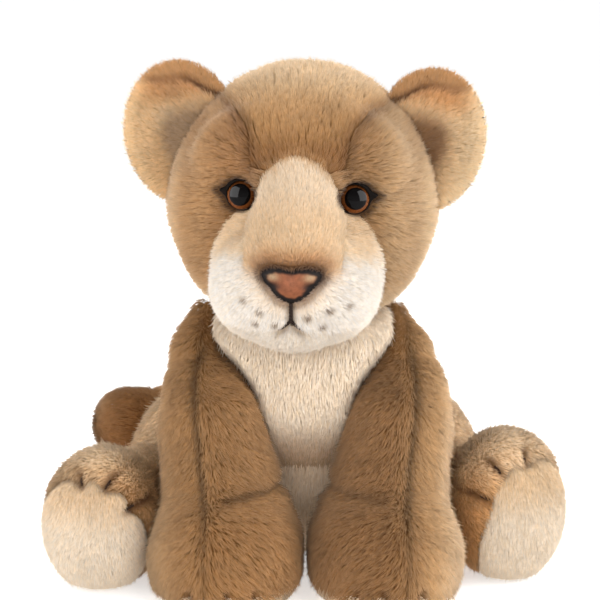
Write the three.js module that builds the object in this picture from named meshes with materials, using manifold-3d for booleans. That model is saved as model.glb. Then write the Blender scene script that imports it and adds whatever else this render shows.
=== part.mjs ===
// Seated cougar cub soft toy, in millimetres. +Z is up and the toy faces -Y.
// Every soft limb is a closed pillow: sewn plush panels around a stuffing core.
import * as THREE from 'three';
import Module from 'manifold-3d';

const wasm = await Module();
wasm.setup();
const { Manifold, Mesh: SolidMesh } = wasm;

// ---------------------------------------------------------------- driving dimensions
const ORIGIN = [0.4398, 4.7045];           // plan position of the middle of the toy, taken off every piece
const FABRIC = 3.0;                   // thickness of backing and pressed pile
const SEAM_GAP = 0.4;                 // free space between two panels, and between panel and stuffing
const RUN = 3.0;                      // free space between pieces that move against each other

const HEAD_CENTRE = [-1, -5, 186];
const HEAD_TURN = -3.0;               // the head looks a little to one side
const HEAD_LEAN = 1.7;                // and leans a little to the other
const NECK_PIVOT = [-0.5, 4, 126];
const NECK_RADIUS = 28;
const HEAD_YAW = [-25, 25];
const HEAD_NOD = [-14, 4];

const SHOULDER = [48, -14, 108];      // pivot of a foreleg
const FORELEG_LIFT = [0, 20];
const HIP = [58, 32, 38];             // upright pivot of a hind leg
const HIND_SPREAD = [0, 20];
const TAIL_PIVOT = [-2, 72, 36];
const TAIL_SWING = [0, 40];
const EAR_FOLD = [-12, 12];

const EYE = { x: 26.6, z: 3.5, radius: 7, height: 5.4, shank: 2.4, depth: 15 };
const WASHER = { radius: 8.5, bore: 2.75, thick: 2.4, below: 6.0 };
const EAR = { x: 61.5, y: 4, z: 28, width: 27, height: 34, cup: 10 };

const FOOT = { left: { x: 97.3, y: -45, z: 32, tall: 33 }, right: { x: 97.5, y: -32, z: 36, tall: 35.5 }, turn: 18 };
const SOLE_TILT = 22;                 // the sole of a hind foot leans back at the top, where the toes are
const TAIL_LINE = [
  [-4, 74, 34, 15], [-20, 88, 36, 15.5], [-46, 94, 42, 15.5], [-74, 86, 51, 15], [-98, 64, 58, 14],
];

// ---------------------------------------------------------------- small vector helpers
const rad = (d) => (d * Math.PI) / 180;
const sub = (a, b) => [a[0] - b[0], a[1] - b[1], a[2] - b[2]];
const add = (a, b) => [a[0] + b[0], a[1] + b[1], a[2] + b[2]];
const mul = (a, s) => [a[0] * s, a[1] * s, a[2] * s];
const dot = (a, b) => a[0] * b[0] + a[1] * b[1] + a[2] * b[2];
const len = (a) => Math.hypot(a[0], a[1], a[2]);
const unit = (a) => mul(a, 1 / len(a));
const cross = (a, b) => [a[1] * b[2] - a[2] * b[1], a[2] * b[0] - a[0] * b[2], a[0] * b[1] - a[1] * b[0]];
const spinX = (p, d) => { const c = Math.cos(rad(d)), s = Math.sin(rad(d)); return [p[0], p[1] * c - p[2] * s, p[1] * s + p[2] * c]; };
const spinY = (p, d) => { const c = Math.cos(rad(d)), s = Math.sin(rad(d)); return [p[0] * c + p[2] * s, p[1], -p[0] * s + p[2] * c]; };
const spinZ = (p, d) => { const c = Math.cos(rad(d)), s = Math.sin(rad(d)); return [p[0] * c - p[1] * s, p[0] * s + p[1] * c, p[2]]; };
const about = (p, pivot, axis, deg) => {
  const k = unit(axis), v = sub(p, pivot), c = Math.cos(rad(deg)), s = Math.sin(rad(deg));
  return add(pivot, add(add(mul(v, c), mul(cross(k, v), s)), mul(k, dot(k, v) * (1 - c))));
};

// ---------------------------------------------------------------- soft shapes as distance rules
const softMin = (a, b, k) => { const h = Math.min(1, Math.max(0, 0.5 + (0.5 * (b - a)) / k)); return b * (1 - h) + a * h - k * h * (1 - h); };
const softMax = (a, b, k) => -softMin(-a, -b, k);
const egg = (p, c, r) => {
  const q = sub(p, c);
  const k0 = Math.hypot(q[0] / r[0], q[1] / r[1], q[2] / r[2]);
  const k1 = Math.hypot(q[0] / r[0] ** 2, q[1] / r[1] ** 2, q[2] / r[2] ** 2);
  return (k0 * (k0 - 1)) / Math.max(k1, 1e-6);
};
const rod = (p, a, b, ra, rb) => {
  const ab = sub(b, a), t = Math.min(1, Math.max(0, dot(sub(p, a), ab) / dot(ab, ab)));
  return len(sub(p, add(a, mul(ab, t)))) - (ra + (rb - ra) * t);
};

// head in its own frame, skull centre at zero
function headShape(q) {
  const p = [Math.abs(q[0]), q[1], q[2]];
  let d = egg(p, [0, 8, 4.5], [58.5, 57, 57.5]);
  d = softMin(d, egg(p, [37, -3, -8], [27, 38, 31]), 16);
  d = softMin(d, egg(p, [29, -8, -31], [26, 36, 24]), 14);
  d = softMin(d, egg(p, [25, -38, 22], [18, 14, 15]), 10);
  let m = egg(p, [0, -48, -35], [30, 37, 25]);
  m = softMin(m, egg(p, [18, -53, -40], [20, 26, 21]), 9);
  m = softMin(m, egg(p, [0, -60, -54], [16, 18, 11]), 8);
  d = softMin(d, m, 10);
  let b = rod(p, [0, -40, 20], [0, -70, -18], 17.5, 18);
  b = softMin(b, rod(p, [6, -43, 14], [8, -69, -18], 14.5, 13.5), 4);
  return softMin(d, b, 6);
}
const headToWorld = (p) => add(HEAD_CENTRE, spinZ(spinY(p, HEAD_LEAN), HEAD_TURN));
const worldToHead = (p) => spinY(spinZ(sub(p, HEAD_CENTRE), -HEAD_TURN), -HEAD_LEAN);

function torsoShape(q) {
  const p = [Math.abs(q[0]), q[1], q[2]];
  let d = egg(p, [0, 28, 46], [58, 56, 50]);
  d = softMin(d, egg(p, [0, 22, 76], [50, 42, 40]), 16);
  d = softMin(d, egg(p, [0, -2, 94], [52, 44, 40]), 16);
  d = softMin(d, egg(p, [0, 2, 112], [51, 42, 27]), 12);
  return softMax(d, -p[2], 4);
}
function forelegShape(q, side) {
  const p = [q[0] * side, q[1], q[2]];
  let d = rod(p, [46, -6, 124], [49, -20, 106], 5, 14);
  d = softMin(d, rod(p, [49, -20, 106], [47.5, -34, 84], 14, 22.5), 6);
  d = softMin(d, rod(p, [47, -34, 82], [38.5, -52, 40], 23, 26), 10);
  d = softMin(d, egg(p, [37, -67, 24], [33.5, 38, 28]), 9);
  return softMax(d, -p[2], 4);
}
const footFrame = (p, side) => {
  const f = side < 0 ? FOOT.left : FOOT.right;
  return spinZ(sub([p[0] * side, p[1], p[2]], [f.x, f.y, f.z]), -FOOT.turn);
};
function hindShape(q, side) {
  const p = [q[0] * side, q[1], q[2]];
  const f = side < 0 ? FOOT.left : FOOT.right;
  let d = egg(p, HIP, [30, 36, 40]);
  d = softMax(d, -(p[0] - 44), 6);
  d = softMin(d, rod(p, [60, 18, 32], [f.x - 4, f.y + 10, 32], 27, 24), 12);
  const t = footFrame(q, side);
  let foot = egg(t, [0, -2, 0], [25.5, 31, f.tall]);
  foot = softMax(foot, -(t[1] + 23), 8);
  d = softMin(d, foot, 8);
  return softMax(d, -p[2], 4);
}
function tailShape(p) {
  let d = 1e9;
  for (let i = 0; i + 1 < TAIL_LINE.length; i++) {
    const a = TAIL_LINE[i], b = TAIL_LINE[i + 1];
    const x = rod(p, a, b, a[3], b[3]);
    d = i ? softMin(d, x, 6) : x;
  }
  return d;
}

// space that each moving piece needs over its whole travel
const steps = (range, n) => Array.from({ length: n + 1 }, (_, i) => range[0] + ((range[1] - range[0]) * i) / n);
const yawSteps = steps(HEAD_YAW, 2), nodSteps = [HEAD_NOD[0], 0, HEAD_NOD[1]];
const headSweep = (p) => {
  let d = 1e9;
  for (const y of yawSteps) {
    const a = about(p, NECK_PIVOT, [0, 0, 1], -y);
    for (const n of nodSteps) d = Math.min(d, headShape(worldToHead(about(a, NECK_PIVOT, [1, 0, 0], -n))));
  }
  return d;
};
const liftSteps = steps(FORELEG_LIFT, 4), spreadSteps = steps(HIND_SPREAD, 3), swingSteps = steps(TAIL_SWING, 4);
const sidePivot = (v, side) => [v[0] * side, v[1], v[2]];
const forelegSweep = (p, side) => Math.min(...liftSteps.map((a) => forelegShape(about(p, sidePivot(SHOULDER, side), [-1, 0, 0], -a), side)));
const hindSweep = (p, side) => Math.min(...spreadSteps.map((a) => hindShape(about(p, sidePivot(HIP, side), [0, 0, side], -a), side)));
const tailSweep = (p) => Math.min(...swingSteps.map((a) => tailShape(about(p, TAIL_PIVOT, [0, 0, -1], -a))));
const torsoBody = (p) => {
  const near = Math.min(headSweep(p), forelegSweep(p, -1), forelegSweep(p, 1), hindSweep(p, -1), hindSweep(p, 1), tailSweep(p));
  return softMax(torsoShape(p), RUN - near, 3);
};

// ---------------------------------------------------------------- meshes and solids
function weld(geometry) {
  const pos = geometry.attributes.position, idx = geometry.index, seen = new Map(), map = [], verts = [];
  for (let i = 0; i < pos.count; i++) {
    const k = [pos.getX(i), pos.getY(i), pos.getZ(i)].map((v) => Math.round(v * 1e5) || 0).join(',');
    if (!seen.has(k)) { seen.set(k, verts.length); verts.push([pos.getX(i), pos.getY(i), pos.getZ(i)]); }
    map.push(seen.get(k));
  }
  const n = idx ? idx.count : pos.count, tris = [];
  for (let i = 0; i < n; i += 3) {
    const t = [0, 1, 2].map((j) => map[idx ? idx.getX(i + j) : i + j]);
    if (t[0] !== t[1] && t[1] !== t[2] && t[0] !== t[2]) tris.push(t);
  }
  return { verts, tris };
}
const solidOf = ({ verts, tris }) => new Manifold(new SolidMesh({
  numProp: 3, vertProperties: new Float32Array(verts.flat()), triVerts: new Uint32Array(tris.flat()),
}));
const solidFromGeometry = (geometry) => solidOf(weld(geometry));

// a ball of rays around a centre, stretched along one direction, stopped on the shape at a level
function ballRays(across, down, axis, stretch) {
  const { verts, tris } = weld(new THREE.SphereGeometry(1, across, down).rotateX(Math.PI / 2));
  const d = unit(axis), h = Math.abs(d[0]) < 0.8 ? [1, 0, 0] : [0, 1, 0];
  const u = unit(cross(h, d)), v = cross(d, u);
  const rays = verts.map((p) => unit(add(add(mul(u, p[0]), mul(v, p[1])), mul(d, p[2] * stretch))));
  return { rays, tris };
}
function reach(rule, centre, ray, level, far = 150) {
  const N = 50;
  let lo = 0, hi = far;
  for (let k = N; k > 0; k--) {
    const t = (far * k) / N;
    if (rule(add(centre, mul(ray, t))) < level) { lo = t; hi = (far * (k + 1)) / N; break; }
  }
  for (let i = 0; i < 22; i++) {
    const m = (lo + hi) / 2;
    if (rule(add(centre, mul(ray, m))) < level) lo = m; else hi = m;
  }
  return (lo + hi) / 2;
}
const onFloor = (v) => [v[0], v[1], Math.abs(v[2]) < 0.01 ? 0 : v[2]];
function pillow(rule, centre, rays, level) {
  return solidOf({ verts: rays.rays.map((r) => onFloor(add(centre, mul(r, reach(rule, centre, r, level))))), tris: rays.tris });
}

// the tail follows its line: rings square to the line, closed by a round end at each side
function lineAt(points, t) {
  const n = points.length - 1, x = Math.min(1, Math.max(0, t)) * n, i = Math.min(Math.floor(x), n - 1), f = x - i;
  const g = (k) => points[k];
  const p1 = g(i), p2 = g(i + 1);
  const p0 = i === 0 ? sub(mul(p1, 2), p2) : g(i - 1), p3 = i === n - 1 ? sub(mul(p2, 2), p1) : g(i + 2);
  return [0, 1, 2].map((c) => 0.5 * (2 * p1[c] + (p2[c] - p0[c]) * f + (2 * p0[c] - 5 * p1[c] + 4 * p2[c] - p3[c]) * f * f + (3 * p1[c] - p0[c] - 3 * p2[c] + p3[c]) * f ** 3));
}
function tailPillow(across, down, level) {
  const line = TAIL_LINE.map((p) => p.slice(0, 3)), cap = 0.2;
  const { verts, tris } = weld(new THREE.SphereGeometry(1, across, down).rotateX(Math.PI / 2));
  const placed = verts.map((p) => {
    const v = 1 - Math.acos(Math.max(-1, Math.min(1, p[2]))) / Math.PI;
    const s = Math.min(1, Math.max(0, (v - cap) / (1 - 2 * cap)));
    const c = lineAt(line, s), tg = unit(sub(lineAt(line, Math.min(1, s + 1e-3)), lineAt(line, Math.max(0, s - 1e-3))));
    const u = unit(cross([0, 0, 1], tg)), w = cross(tg, u);
    const al = (v < cap ? -(1 - v / cap) : v > 1 - cap ? (v - 1 + cap) / cap : 0) * (Math.PI / 2);
    const r = Math.hypot(p[0], p[1]) || 1, side = add(mul(u, p[0] / r), mul(w, p[1] / r));
    const ray = Math.hypot(p[0], p[1]) < 1e-6 ? mul(tg, Math.sign(p[2])) : unit(add(mul(side, Math.cos(al)), mul(tg, Math.sin(al))));
    let lo = 0, hi = 60;
    for (let k = 1; k <= 60; k++) if (tailShape(add(c, mul(ray, k))) > level) { hi = k; lo = k - 1; break; }
    for (let i = 0; i < 22; i++) { const m = (lo + hi) / 2; if (tailShape(add(c, mul(ray, m))) < level) lo = m; else hi = m; }
    return add(c, mul(ray, (lo + hi) / 2));
  });
  return solidOf({ verts: placed, tris });
}

// cutters
const slab = (x0, y0, z0, x1, y1, z1) => solidFromGeometry(new THREE.BoxGeometry(x1 - x0, y1 - y0, z1 - z0).translate((x0 + x1) / 2, (y0 + y1) / 2, (z0 + z1) / 2));
const globe = (c, r, n = 16) => solidFromGeometry(new THREE.SphereGeometry(r, n, Math.round(n * 0.6)).rotateX(Math.PI / 2).translate(...c));
function frontPrism(outline, yFront, yBack) {       // outline in x and z, pushed along y
  const shape = new THREE.Shape(outline.map(([x, z]) => new THREE.Vector2(x, z)));
  const g = new THREE.ExtrudeGeometry(shape, { depth: yBack - yFront, bevelEnabled: false, steps: 1 });
  return solidFromGeometry(g.rotateX(Math.PI / 2).translate(0, yBack, 0));
}
function toward(geometry, at, n) {                    // stands a +Y shape on a point along a direction
  const q = new THREE.Quaternion().setFromUnitVectors(new THREE.Vector3(0, 1, 0), new THREE.Vector3(...n));
  return geometry.applyQuaternion(q).translate(...at);
}
const turned = (points, n, at, dir) => solidFromGeometry(toward(new THREE.LatheGeometry(points.map(([r, y]) => new THREE.Vector2(r, y)), n), at, dir));
const drum = (r, y0, y1, at, dir, n = 20) => turned([[0, y0], [r, y0], [r, y1], [0, y1]], n, at, dir);
const biggest = (solid) => solid.decompose().sort((a, b) => b.volume() - a.volume())[0];
const grow = (outline, by) => {                       // outline moved outwards by a small amount
  const c = outline.reduce((a, p) => [a[0] + p[0] / outline.length, a[1] + p[1] / outline.length], [0, 0]);
  return outline.map(([x, z]) => { const dx = x - c[0], dz = z - c[1], l = Math.hypot(dx, dz) || 1; return [x + (dx / l) * by, z + (dz / l) * by]; });
};
const smoothLoop = (points, n) => new THREE.CatmullRomCurve3(points.map(([x, z]) => new THREE.Vector3(x, 0, z)), true, 'catmullrom', 0.5).getPoints(n).slice(0, n).map((v) => [v.x, v.z]);
const mirror = (outline) => outline.map(([x, z]) => [-x, z]).reverse();

// ---------------------------------------------------------------- looks
const paint = (hex, roughness = 0.95, metalness = 0) => () => new THREE.MeshStandardMaterial({ color: hex, roughness, metalness });
const TAN = paint(0xb0855a), TAN_LIGHT = paint(0xc79f72), CREAM = paint(0xe3cfb2), WHITE = paint(0xece2d6), PEACH = paint(0xd8b185);
const DARK = paint(0x6b4a2e), FLUFF = paint(0xf2f0ea), COTTON = paint(0xd9d4c8, 0.9), FELT = paint(0x17120f, 0.9), THREAD = paint(0x2a1c13, 0.7);
const EYE_GLOSS = paint(0x140c07, 0.08), WASHER_WHITE = paint(0xe9e9e6, 0.5), SUEDE = paint(0xa4694b, 0.75);

const toy = new THREE.Group();
toy.name = 'plush_cougar_cub';
const seated = new THREE.Group();                     // everything, moved so that its plan middle is at zero
seated.position.set(-ORIGIN[0], -ORIGIN[1], 0);
toy.add(seated);
const head = new THREE.Group();
head.position.set(...HEAD_CENTRE);
head.rotation.set(0, rad(HEAD_LEAN), rad(HEAD_TURN), 'ZYX');
seated.add(head);
function put(name, solid, look, parent = seated) {
  const m = biggest(solid).getMesh();
  const g = new THREE.BufferGeometry();
  g.setAttribute('position', new THREE.BufferAttribute(new Float32Array(m.vertProperties), 3));
  g.setIndex(Array.from(m.triVerts));
  g.computeVertexNormals();
  const mesh = new THREE.Mesh(g, look());
  mesh.name = name;
  parent.add(mesh);
}
const turn = (solid, pivot, axis, deg) => solid.transform(new THREE.Matrix4().makeTranslation(...pivot)
  .multiply(new THREE.Matrix4().makeRotationAxis(new THREE.Vector3(...axis).normalize(), rad(deg)))
  .multiply(new THREE.Matrix4().makeTranslation(-pivot[0], -pivot[1], -pivot[2])).toArray());

// ---------------------------------------------------------------- head
const headRays = ballRays(18, 13, [0, 0, 1], 1);
const HEAD_EYE = [0, -22, -12];                       // the point the rays of the head leave from
const headAt = (level) => pillow(headShape, HEAD_EYE, headRays, level);
const neckLocal = worldToHead(NECK_PIVOT);
const neckHollow = globe(neckLocal, NECK_RADIUS + 1.6);

const eyes = [-1, 1].map((side) => {
  const n = unit([side * 0.2, -0.97, 0.1]);
  let y = -110;
  for (let i = 0; i < 400; i++) { const d = headShape([side * EYE.x, y, EYE.z]); if (d < 0.005) break; y += d * 0.5; }
  return { side, n, seat: sub([side * EYE.x, y, EYE.z], mul(n, 1.4)) };
});
const noseOutline = smoothLoop([[0, -25], [8, -24.6], [13.2, -26.8], [13.6, -30.2], [10, -35.2], [5.6, -39.6], [0, -41.4], [-5.6, -39.6], [-10, -35.2], [-13.6, -30.2], [-13.2, -26.8], [-8, -24.6]], 20);
const mouthOutline = [[-0.9, -42.2], [0.9, -42.2], [0.9, -50.6], [5.6, -54.9], [4.5, -56.3], [0, -52.2], [-4.5, -56.3], [-5.6, -54.9], [-0.9, -50.6]].reverse();
const eyePatch = (side) => {
  const o = smoothLoop([[-8.8, -0.6], [-6, 5.8], [0, 8.4], [6.4, 7], [11.4, 2.2], [8, -3.2], [4.4, -7.6], [-2.4, -8.2], [-7, -5.6]], 16).map(([x, z]) => [EYE.x + x, EYE.z + z]);
  return side > 0 ? o : mirror(o);
};
// seams of the face, seen from the front
const bridgeOutline = smoothLoop([[0, 25], [10, 24], [18, 17], [20.5, 8], [21.6, -4], [21.8, -18], [20, -30], [17, -40], [8, -44.5], [0, -45.5], [-8, -44.5], [-17, -40], [-20, -30], [-21.8, -18], [-21.6, -4], [-20.5, 8], [-18, 17], [-10, 24]], 26);
const muzzleOutline = smoothLoop([[0, -1], [22, -1.5], [33, -10], [40.5, -26], [39.5, -44], [30, -58], [15, -72], [0, -76], [-15, -72], [-30, -58], [-39.5, -44], [-40.5, -26], [-33, -10], [-22, -1.5]], 26);
const crownOutline = [[-20, 16], [-23.6, 32], [-30, 40], [-44, 46], [-44, 90], [44, 90], [44, 46], [30, 40], [23.6, 32], [20, 16], [0, 12]].reverse();

const bridgeCut = frontPrism(bridgeOutline, -130, -34), bridgeRoom = frontPrism(grow(bridgeOutline, SEAM_GAP), -130, -34);
const muzzleCut = frontPrism(muzzleOutline, -130, -28), muzzleRoom = frontPrism(grow(muzzleOutline, SEAM_GAP), -130, -28);
const crownCut = frontPrism(crownOutline, -130, 24), crownRoom = frontPrism(grow(crownOutline, SEAM_GAP), -130, 24 + SEAM_GAP);
const behind = slab(-120, 24 + SEAM_GAP, -120, 120, 120, 120), ahead = slab(-120, -140, -120, 120, 24, 120);
const halfLeft = slab(-150, -150, -150, -SEAM_GAP / 2, 150, 150), halfRight = slab(SEAM_GAP / 2, -150, -150, 150, 150, 150);
const chinCut = slab(-60, -140, -80, 60, -20, -53), chinRoom = slab(-60, -140, -80, 60, -20, -53 + SEAM_GAP);

let headSkin = headAt(0).subtract(headAt(-FABRIC)).subtract(neckHollow);
for (const e of eyes) headSkin = headSkin.subtract(drum(EYE.radius + 0.5, -0.1, 14, e.seat, e.n, 14)).subtract(drum(EYE.shank + 0.5, -12, 2, e.seat, e.n, 10));
const faceSkin = headSkin.intersect(ahead);
const lowFace = faceSkin.intersect(muzzleCut).subtract(bridgeRoom);
put('crown_gusset', faceSkin.intersect(crownCut).subtract(bridgeRoom).subtract(muzzleRoom), TAN, head);
put('nose_bridge_panel', faceSkin.intersect(bridgeCut), CREAM, head);
const sides = faceSkin.subtract(crownRoom).subtract(bridgeRoom).subtract(muzzleRoom);
put('face_side_left', sides.intersect(halfLeft), TAN, head);
put('face_side_right', sides.intersect(halfRight), TAN, head);
put('muzzle_left', lowFace.subtract(chinRoom).intersect(halfLeft), WHITE, head);
put('muzzle_right', lowFace.subtract(chinRoom).intersect(halfRight), WHITE, head);
put('chin_panel', lowFace.intersect(chinCut), WHITE, head);
put('head_back_panel', headSkin.intersect(behind), TAN, head);

let headFill = headAt(-FABRIC - SEAM_GAP).subtract(neckHollow);
for (const e of eyes) {
  headFill = headFill.subtract(drum(WASHER.radius + 0.7, -WASHER.below - WASHER.thick - 0.5, 6, e.seat, e.n, 14)).subtract(drum(EYE.shank + 0.6, -EYE.depth - 0.6, 0, e.seat, e.n, 10));
}
put('head_stuffing', headFill, FLUFF, head);

for (const e of eyes) {
  const tag = e.side < 0 ? 'left' : 'right', r = EYE.radius, h = EYE.height;
  const dome = [[0, -EYE.depth], [EYE.shank, -EYE.depth], [EYE.shank, 0.1], [r, 0.1], [r, 1.1], [r * 0.93, h * 0.5], [r * 0.74, h * 0.76], [r * 0.42, h * 0.94], [0, h]];
  put(`eye_${tag}`, turned(dome, 16, e.seat, e.n), EYE_GLOSS, head);
  const a = -WASHER.below - WASHER.thick, b = -WASHER.below;
  put(`eye_washer_${tag}`, turned([[WASHER.bore, a], [WASHER.radius, a], [WASHER.radius, b], [WASHER.bore, b], [WASHER.bore, a]], 14, e.seat, e.n), WASHER_WHITE, head);
  const felt = headAt(1.7).subtract(headAt(0.35)).intersect(frontPrism(eyePatch(e.side), e.seat[1] - 8, -20)).subtract(drum(r + 0.45, -8, 14, e.seat, e.n, 16));
  put(`eye_felt_${tag}`, felt, FELT, head);
}
put('nose_patch', headAt(2.8).subtract(headAt(0.35)).intersect(frontPrism(noseOutline, -130, -50)), SUEDE, head);
put('mouth_stitch', headAt(1.4).subtract(headAt(0.35)).intersect(frontPrism(mouthOutline, -130, -50)), THREAD, head);

// ears: two cupped layers, cut free of the head over the whole fold
const headClear = headAt(0.8);
for (const side of [-1, 1]) {
  const tag = side < 0 ? 'left' : 'right';
  const line = unit([side * -0.41, 0, 0.91]), base = [side * 52, 4, 27];
  const layer = (wide, mid, half, across, down) => {
    const { verts, tris } = weld(new THREE.SphereGeometry(1, across, down).rotateX(-Math.PI / 2 + Math.PI));
    const placed = verts.map((p) => {
      const rho = Math.hypot(p[0], p[1]), bowl = EAR.cup * (1 - rho * rho) - 6;
      const q = [EAR.width * wide * p[0], bowl + mid - half * p[2], EAR.height * wide * p[1]];
      return add([side * EAR.x, EAR.y, EAR.z], spinZ(spinY(spinX(q, -4), side * 9), side * -12));
    });
    let s = solidOf({ verts: placed, tris });
    if (s.volume() < 0) s = solidOf({ verts: placed, tris: tris.map((t) => [t[0], t[2], t[1]]) });
    for (const a of steps(EAR_FOLD, 4)) {
      s = s.subtract(turn(headClear, base, line, -a));
    }
    return s;
  };
  put(`ear_back_${tag}`, layer(1, 2.4, 2.2, 18, 6), TAN, head);
  put(`ear_lining_${tag}`, layer(0.93, -2.1, 1.9, 18, 6), PEACH, head);
}

// ---------------------------------------------------------------- neck
put('neck_stuffing', globe(NECK_PIVOT, NECK_RADIUS, 14), FLUFF);

// ---------------------------------------------------------------- torso
const torsoRays = ballRays(22, 14, [0, 0, 1], 1);
const TORSO_EYE = [0, 16, 58];
const torsoAt = (level) => pillow(torsoBody, TORSO_EYE, torsoRays, level);
const forelegRays = ballRays(12, 10, [0, 0.3, 1], 1.9);
const forelegAt = (side, level) => pillow((p) => forelegShape(p, side), [side * 41, -46, 50], forelegRays, level);
const hindRays = [-1, 1].map((side) => ballRays(12, 10, [-side * 0.5, 0.86, 0], 1.6));
const hindAt = (side, level) => pillow((p) => hindShape(p, side), [side * 72, 2, 34], hindRays[side < 0 ? 0 : 1], level);
let limbRoom = globe(NECK_PIVOT, NECK_RADIUS + 1.6);
for (const side of [-1, 1]) for (const a of liftSteps) limbRoom = limbRoom.add(turn(forelegAt(side, 1), sidePivot(SHOULDER, side), [-1, 0, 0], a));
for (const side of [-1, 1]) for (const a of spreadSteps) limbRoom = limbRoom.add(turn(hindAt(side, 1), sidePivot(HIP, side), [0, 0, side], a));
const torsoSkin = torsoAt(0).subtract(torsoAt(-FABRIC)).subtract(limbRoom);
const FRONT_SEAM = -6, BELLY_SEAM = 57, SEAT_SEAM = 9, g = SEAM_GAP / 2;
const upper = torsoSkin.intersect(slab(-200, -200, SEAT_SEAM + g, 200, 200, 300));
put('chest_panel', upper.intersect(slab(-200, -200, BELLY_SEAM + g, 200, FRONT_SEAM - g, 300)), CREAM);
put('belly_panel', upper.intersect(slab(-200, -200, -10, 200, FRONT_SEAM - g, BELLY_SEAM - g)), CREAM);
put('back_panel_left', upper.intersect(slab(-200, FRONT_SEAM + g, -10, -g, 200, 300)), TAN);
put('back_panel_right', upper.intersect(slab(g, FRONT_SEAM + g, -10, 200, 200, 300)), TAN);
put('seat_panel', torsoSkin.intersect(slab(-200, -200, -10, 200, 200, SEAT_SEAM - g)), TAN);
const torsoFill = torsoAt(-FABRIC - SEAM_GAP).subtract(limbRoom);
put('torso_stuffing', torsoFill.intersect(slab(-200, -200, 24 + g, 200, 200, 300)), FLUFF);
put('pellet_bag', torsoFill.intersect(slab(-200, -200, 0, 200, 200, 24 - g)), COTTON);

// ---------------------------------------------------------------- forelegs
for (const side of [-1, 1]) {
  const tag = side < 0 ? 'left' : 'right';
  const at = (level) => forelegAt(side, level);
  const skin = at(0).subtract(at(-FABRIC));
  const SOLE = 7;
  const seam = [[49.5, 140], [50, 118], [52.5, 100], [52, 85], [49, 65], [46.5, 48], [46.5, 20], [47, -5]];
  const outside = [...seam.map(([x, z]) => [x + g, z]), [150, -5], [150, 140]];
  const inside = [...seam.map(([x, z]) => [x - g, z]), [-20, -5], [-20, 140]].reverse();
  const handed = (o) => { const q = side > 0 ? o : mirror(o); return THREE.ShapeUtils.area(q.map(([x, z]) => new THREE.Vector2(x, z))) > 0 ? q : q.slice().reverse(); };
  const legUp = skin.intersect(slab(-200, -200, SOLE + g, 200, 200, 300));
  put(`foreleg_outer_panel_${tag}`, legUp.intersect(frontPrism(handed(outside), -160, 60)), TAN);
  put(`foreleg_inner_panel_${tag}`, legUp.intersect(frontPrism(handed(inside), -160, 60)), TAN);
  put(`forepaw_sole_${tag}`, skin.intersect(slab(-200, -200, -10, 200, 200, SOLE - g)), CREAM);
  put(`foreleg_stuffing_${tag}`, at(-FABRIC - SEAM_GAP), FLUFF);
  const proud = at(1.3).subtract(at(0.3));
  [26, 37.5, 52].forEach((x, i) => put(`forepaw_toe_stitch_${tag}_${i + 1}`, proud.intersect(slab(side * x - 0.8, -140, 8.5, side * x + 0.8, -70, 22)), THREAD));
}

// ---------------------------------------------------------------- hind legs
for (const side of [-1, 1]) {
  const tag = side < 0 ? 'left' : 'right', f = side < 0 ? FOOT.left : FOOT.right;
  const at = (level) => hindAt(side, level);
  const skin = at(0).subtract(at(-FABRIC));
  const place = (solid) => solid.rotate([0, 0, side * FOOT.turn]).translate([side * f.x, f.y, f.z]);
  const soleCut = (shift) => place(slab(-80, -120, -120, 80, -8.4 + shift, 120).rotate([SOLE_TILT, 0, 0]));
  const legSkin = skin.subtract(soleCut(g));
  const along = (Math.atan2(f.x - HIP[0], HIP[1] - f.y) * 180) / Math.PI;
  const split = (s0, s1) => slab(s0, -90, -90, s1, 160, 120).rotate([0, 0, side * along]).translate([side * f.x, f.y, 0]);
  const outer = side > 0 ? split(g, 150) : split(-150, -g), inner = side > 0 ? split(-150, -g) : split(g, 150);
  put(`hind_leg_outer_panel_${tag}`, legSkin.intersect(outer), TAN);
  put(`hind_leg_inner_panel_${tag}`, legSkin.intersect(inner), TAN);
  put(`hind_foot_sole_${tag}`, skin.intersect(soleCut(-g)), CREAM);
  put(`hind_leg_stuffing_${tag}`, at(-FABRIC - SEAM_GAP), FLUFF);
  const proud = at(1.3).subtract(at(0.3));
  [[4.5, 21], [-9, 19], [-17.5, 7]].forEach(([x, z], i) => {
    const a = Math.atan2(x * side, z), c = [x * side, z];
    const strip = solidFromGeometry(new THREE.BoxGeometry(1.6, 34, 13).rotateY(a).translate(c[0], -18, c[1]));
    put(`hind_toe_stitch_${tag}_${i + 1}`, proud.intersect(place(strip)), THREAD);
  });
}

// ---------------------------------------------------------------- tail
const tailSkin = tailPillow(10, 12, 0).subtract(tailPillow(10, 12, -FABRIC));
const tipCut = (shift) => slab(-200, -50, -50, -80 - shift, 200, 200);
const openTail = tailSkin.subtract(drum(40, 0, 60, [-6, 75.6, 34], unit([16, -13, -2]), 12));
put('tail_cover', openTail.subtract(tipCut(-g)), TAN);
put('tail_tip', openTail.intersect(tipCut(g)), DARK);
put('tail_stuffing', tailPillow(10, 12, -FABRIC - SEAM_GAP).subtract(drum(40, 0, 60, [-6, 75.6, 34], unit([16, -13, -2]), 12)), FLUFF);

export default toy;
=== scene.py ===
"""Looks of a seated cougar cub soft toy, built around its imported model.

Shapes are worked out in millimetres, with +Z up and the toy facing -Y, and turned into
metres in the row frame when a piece is made. Every sewn panel is a closed skin with a
real pile of bent, pointed fibres standing on it.
"""

import itertools
import math

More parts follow.
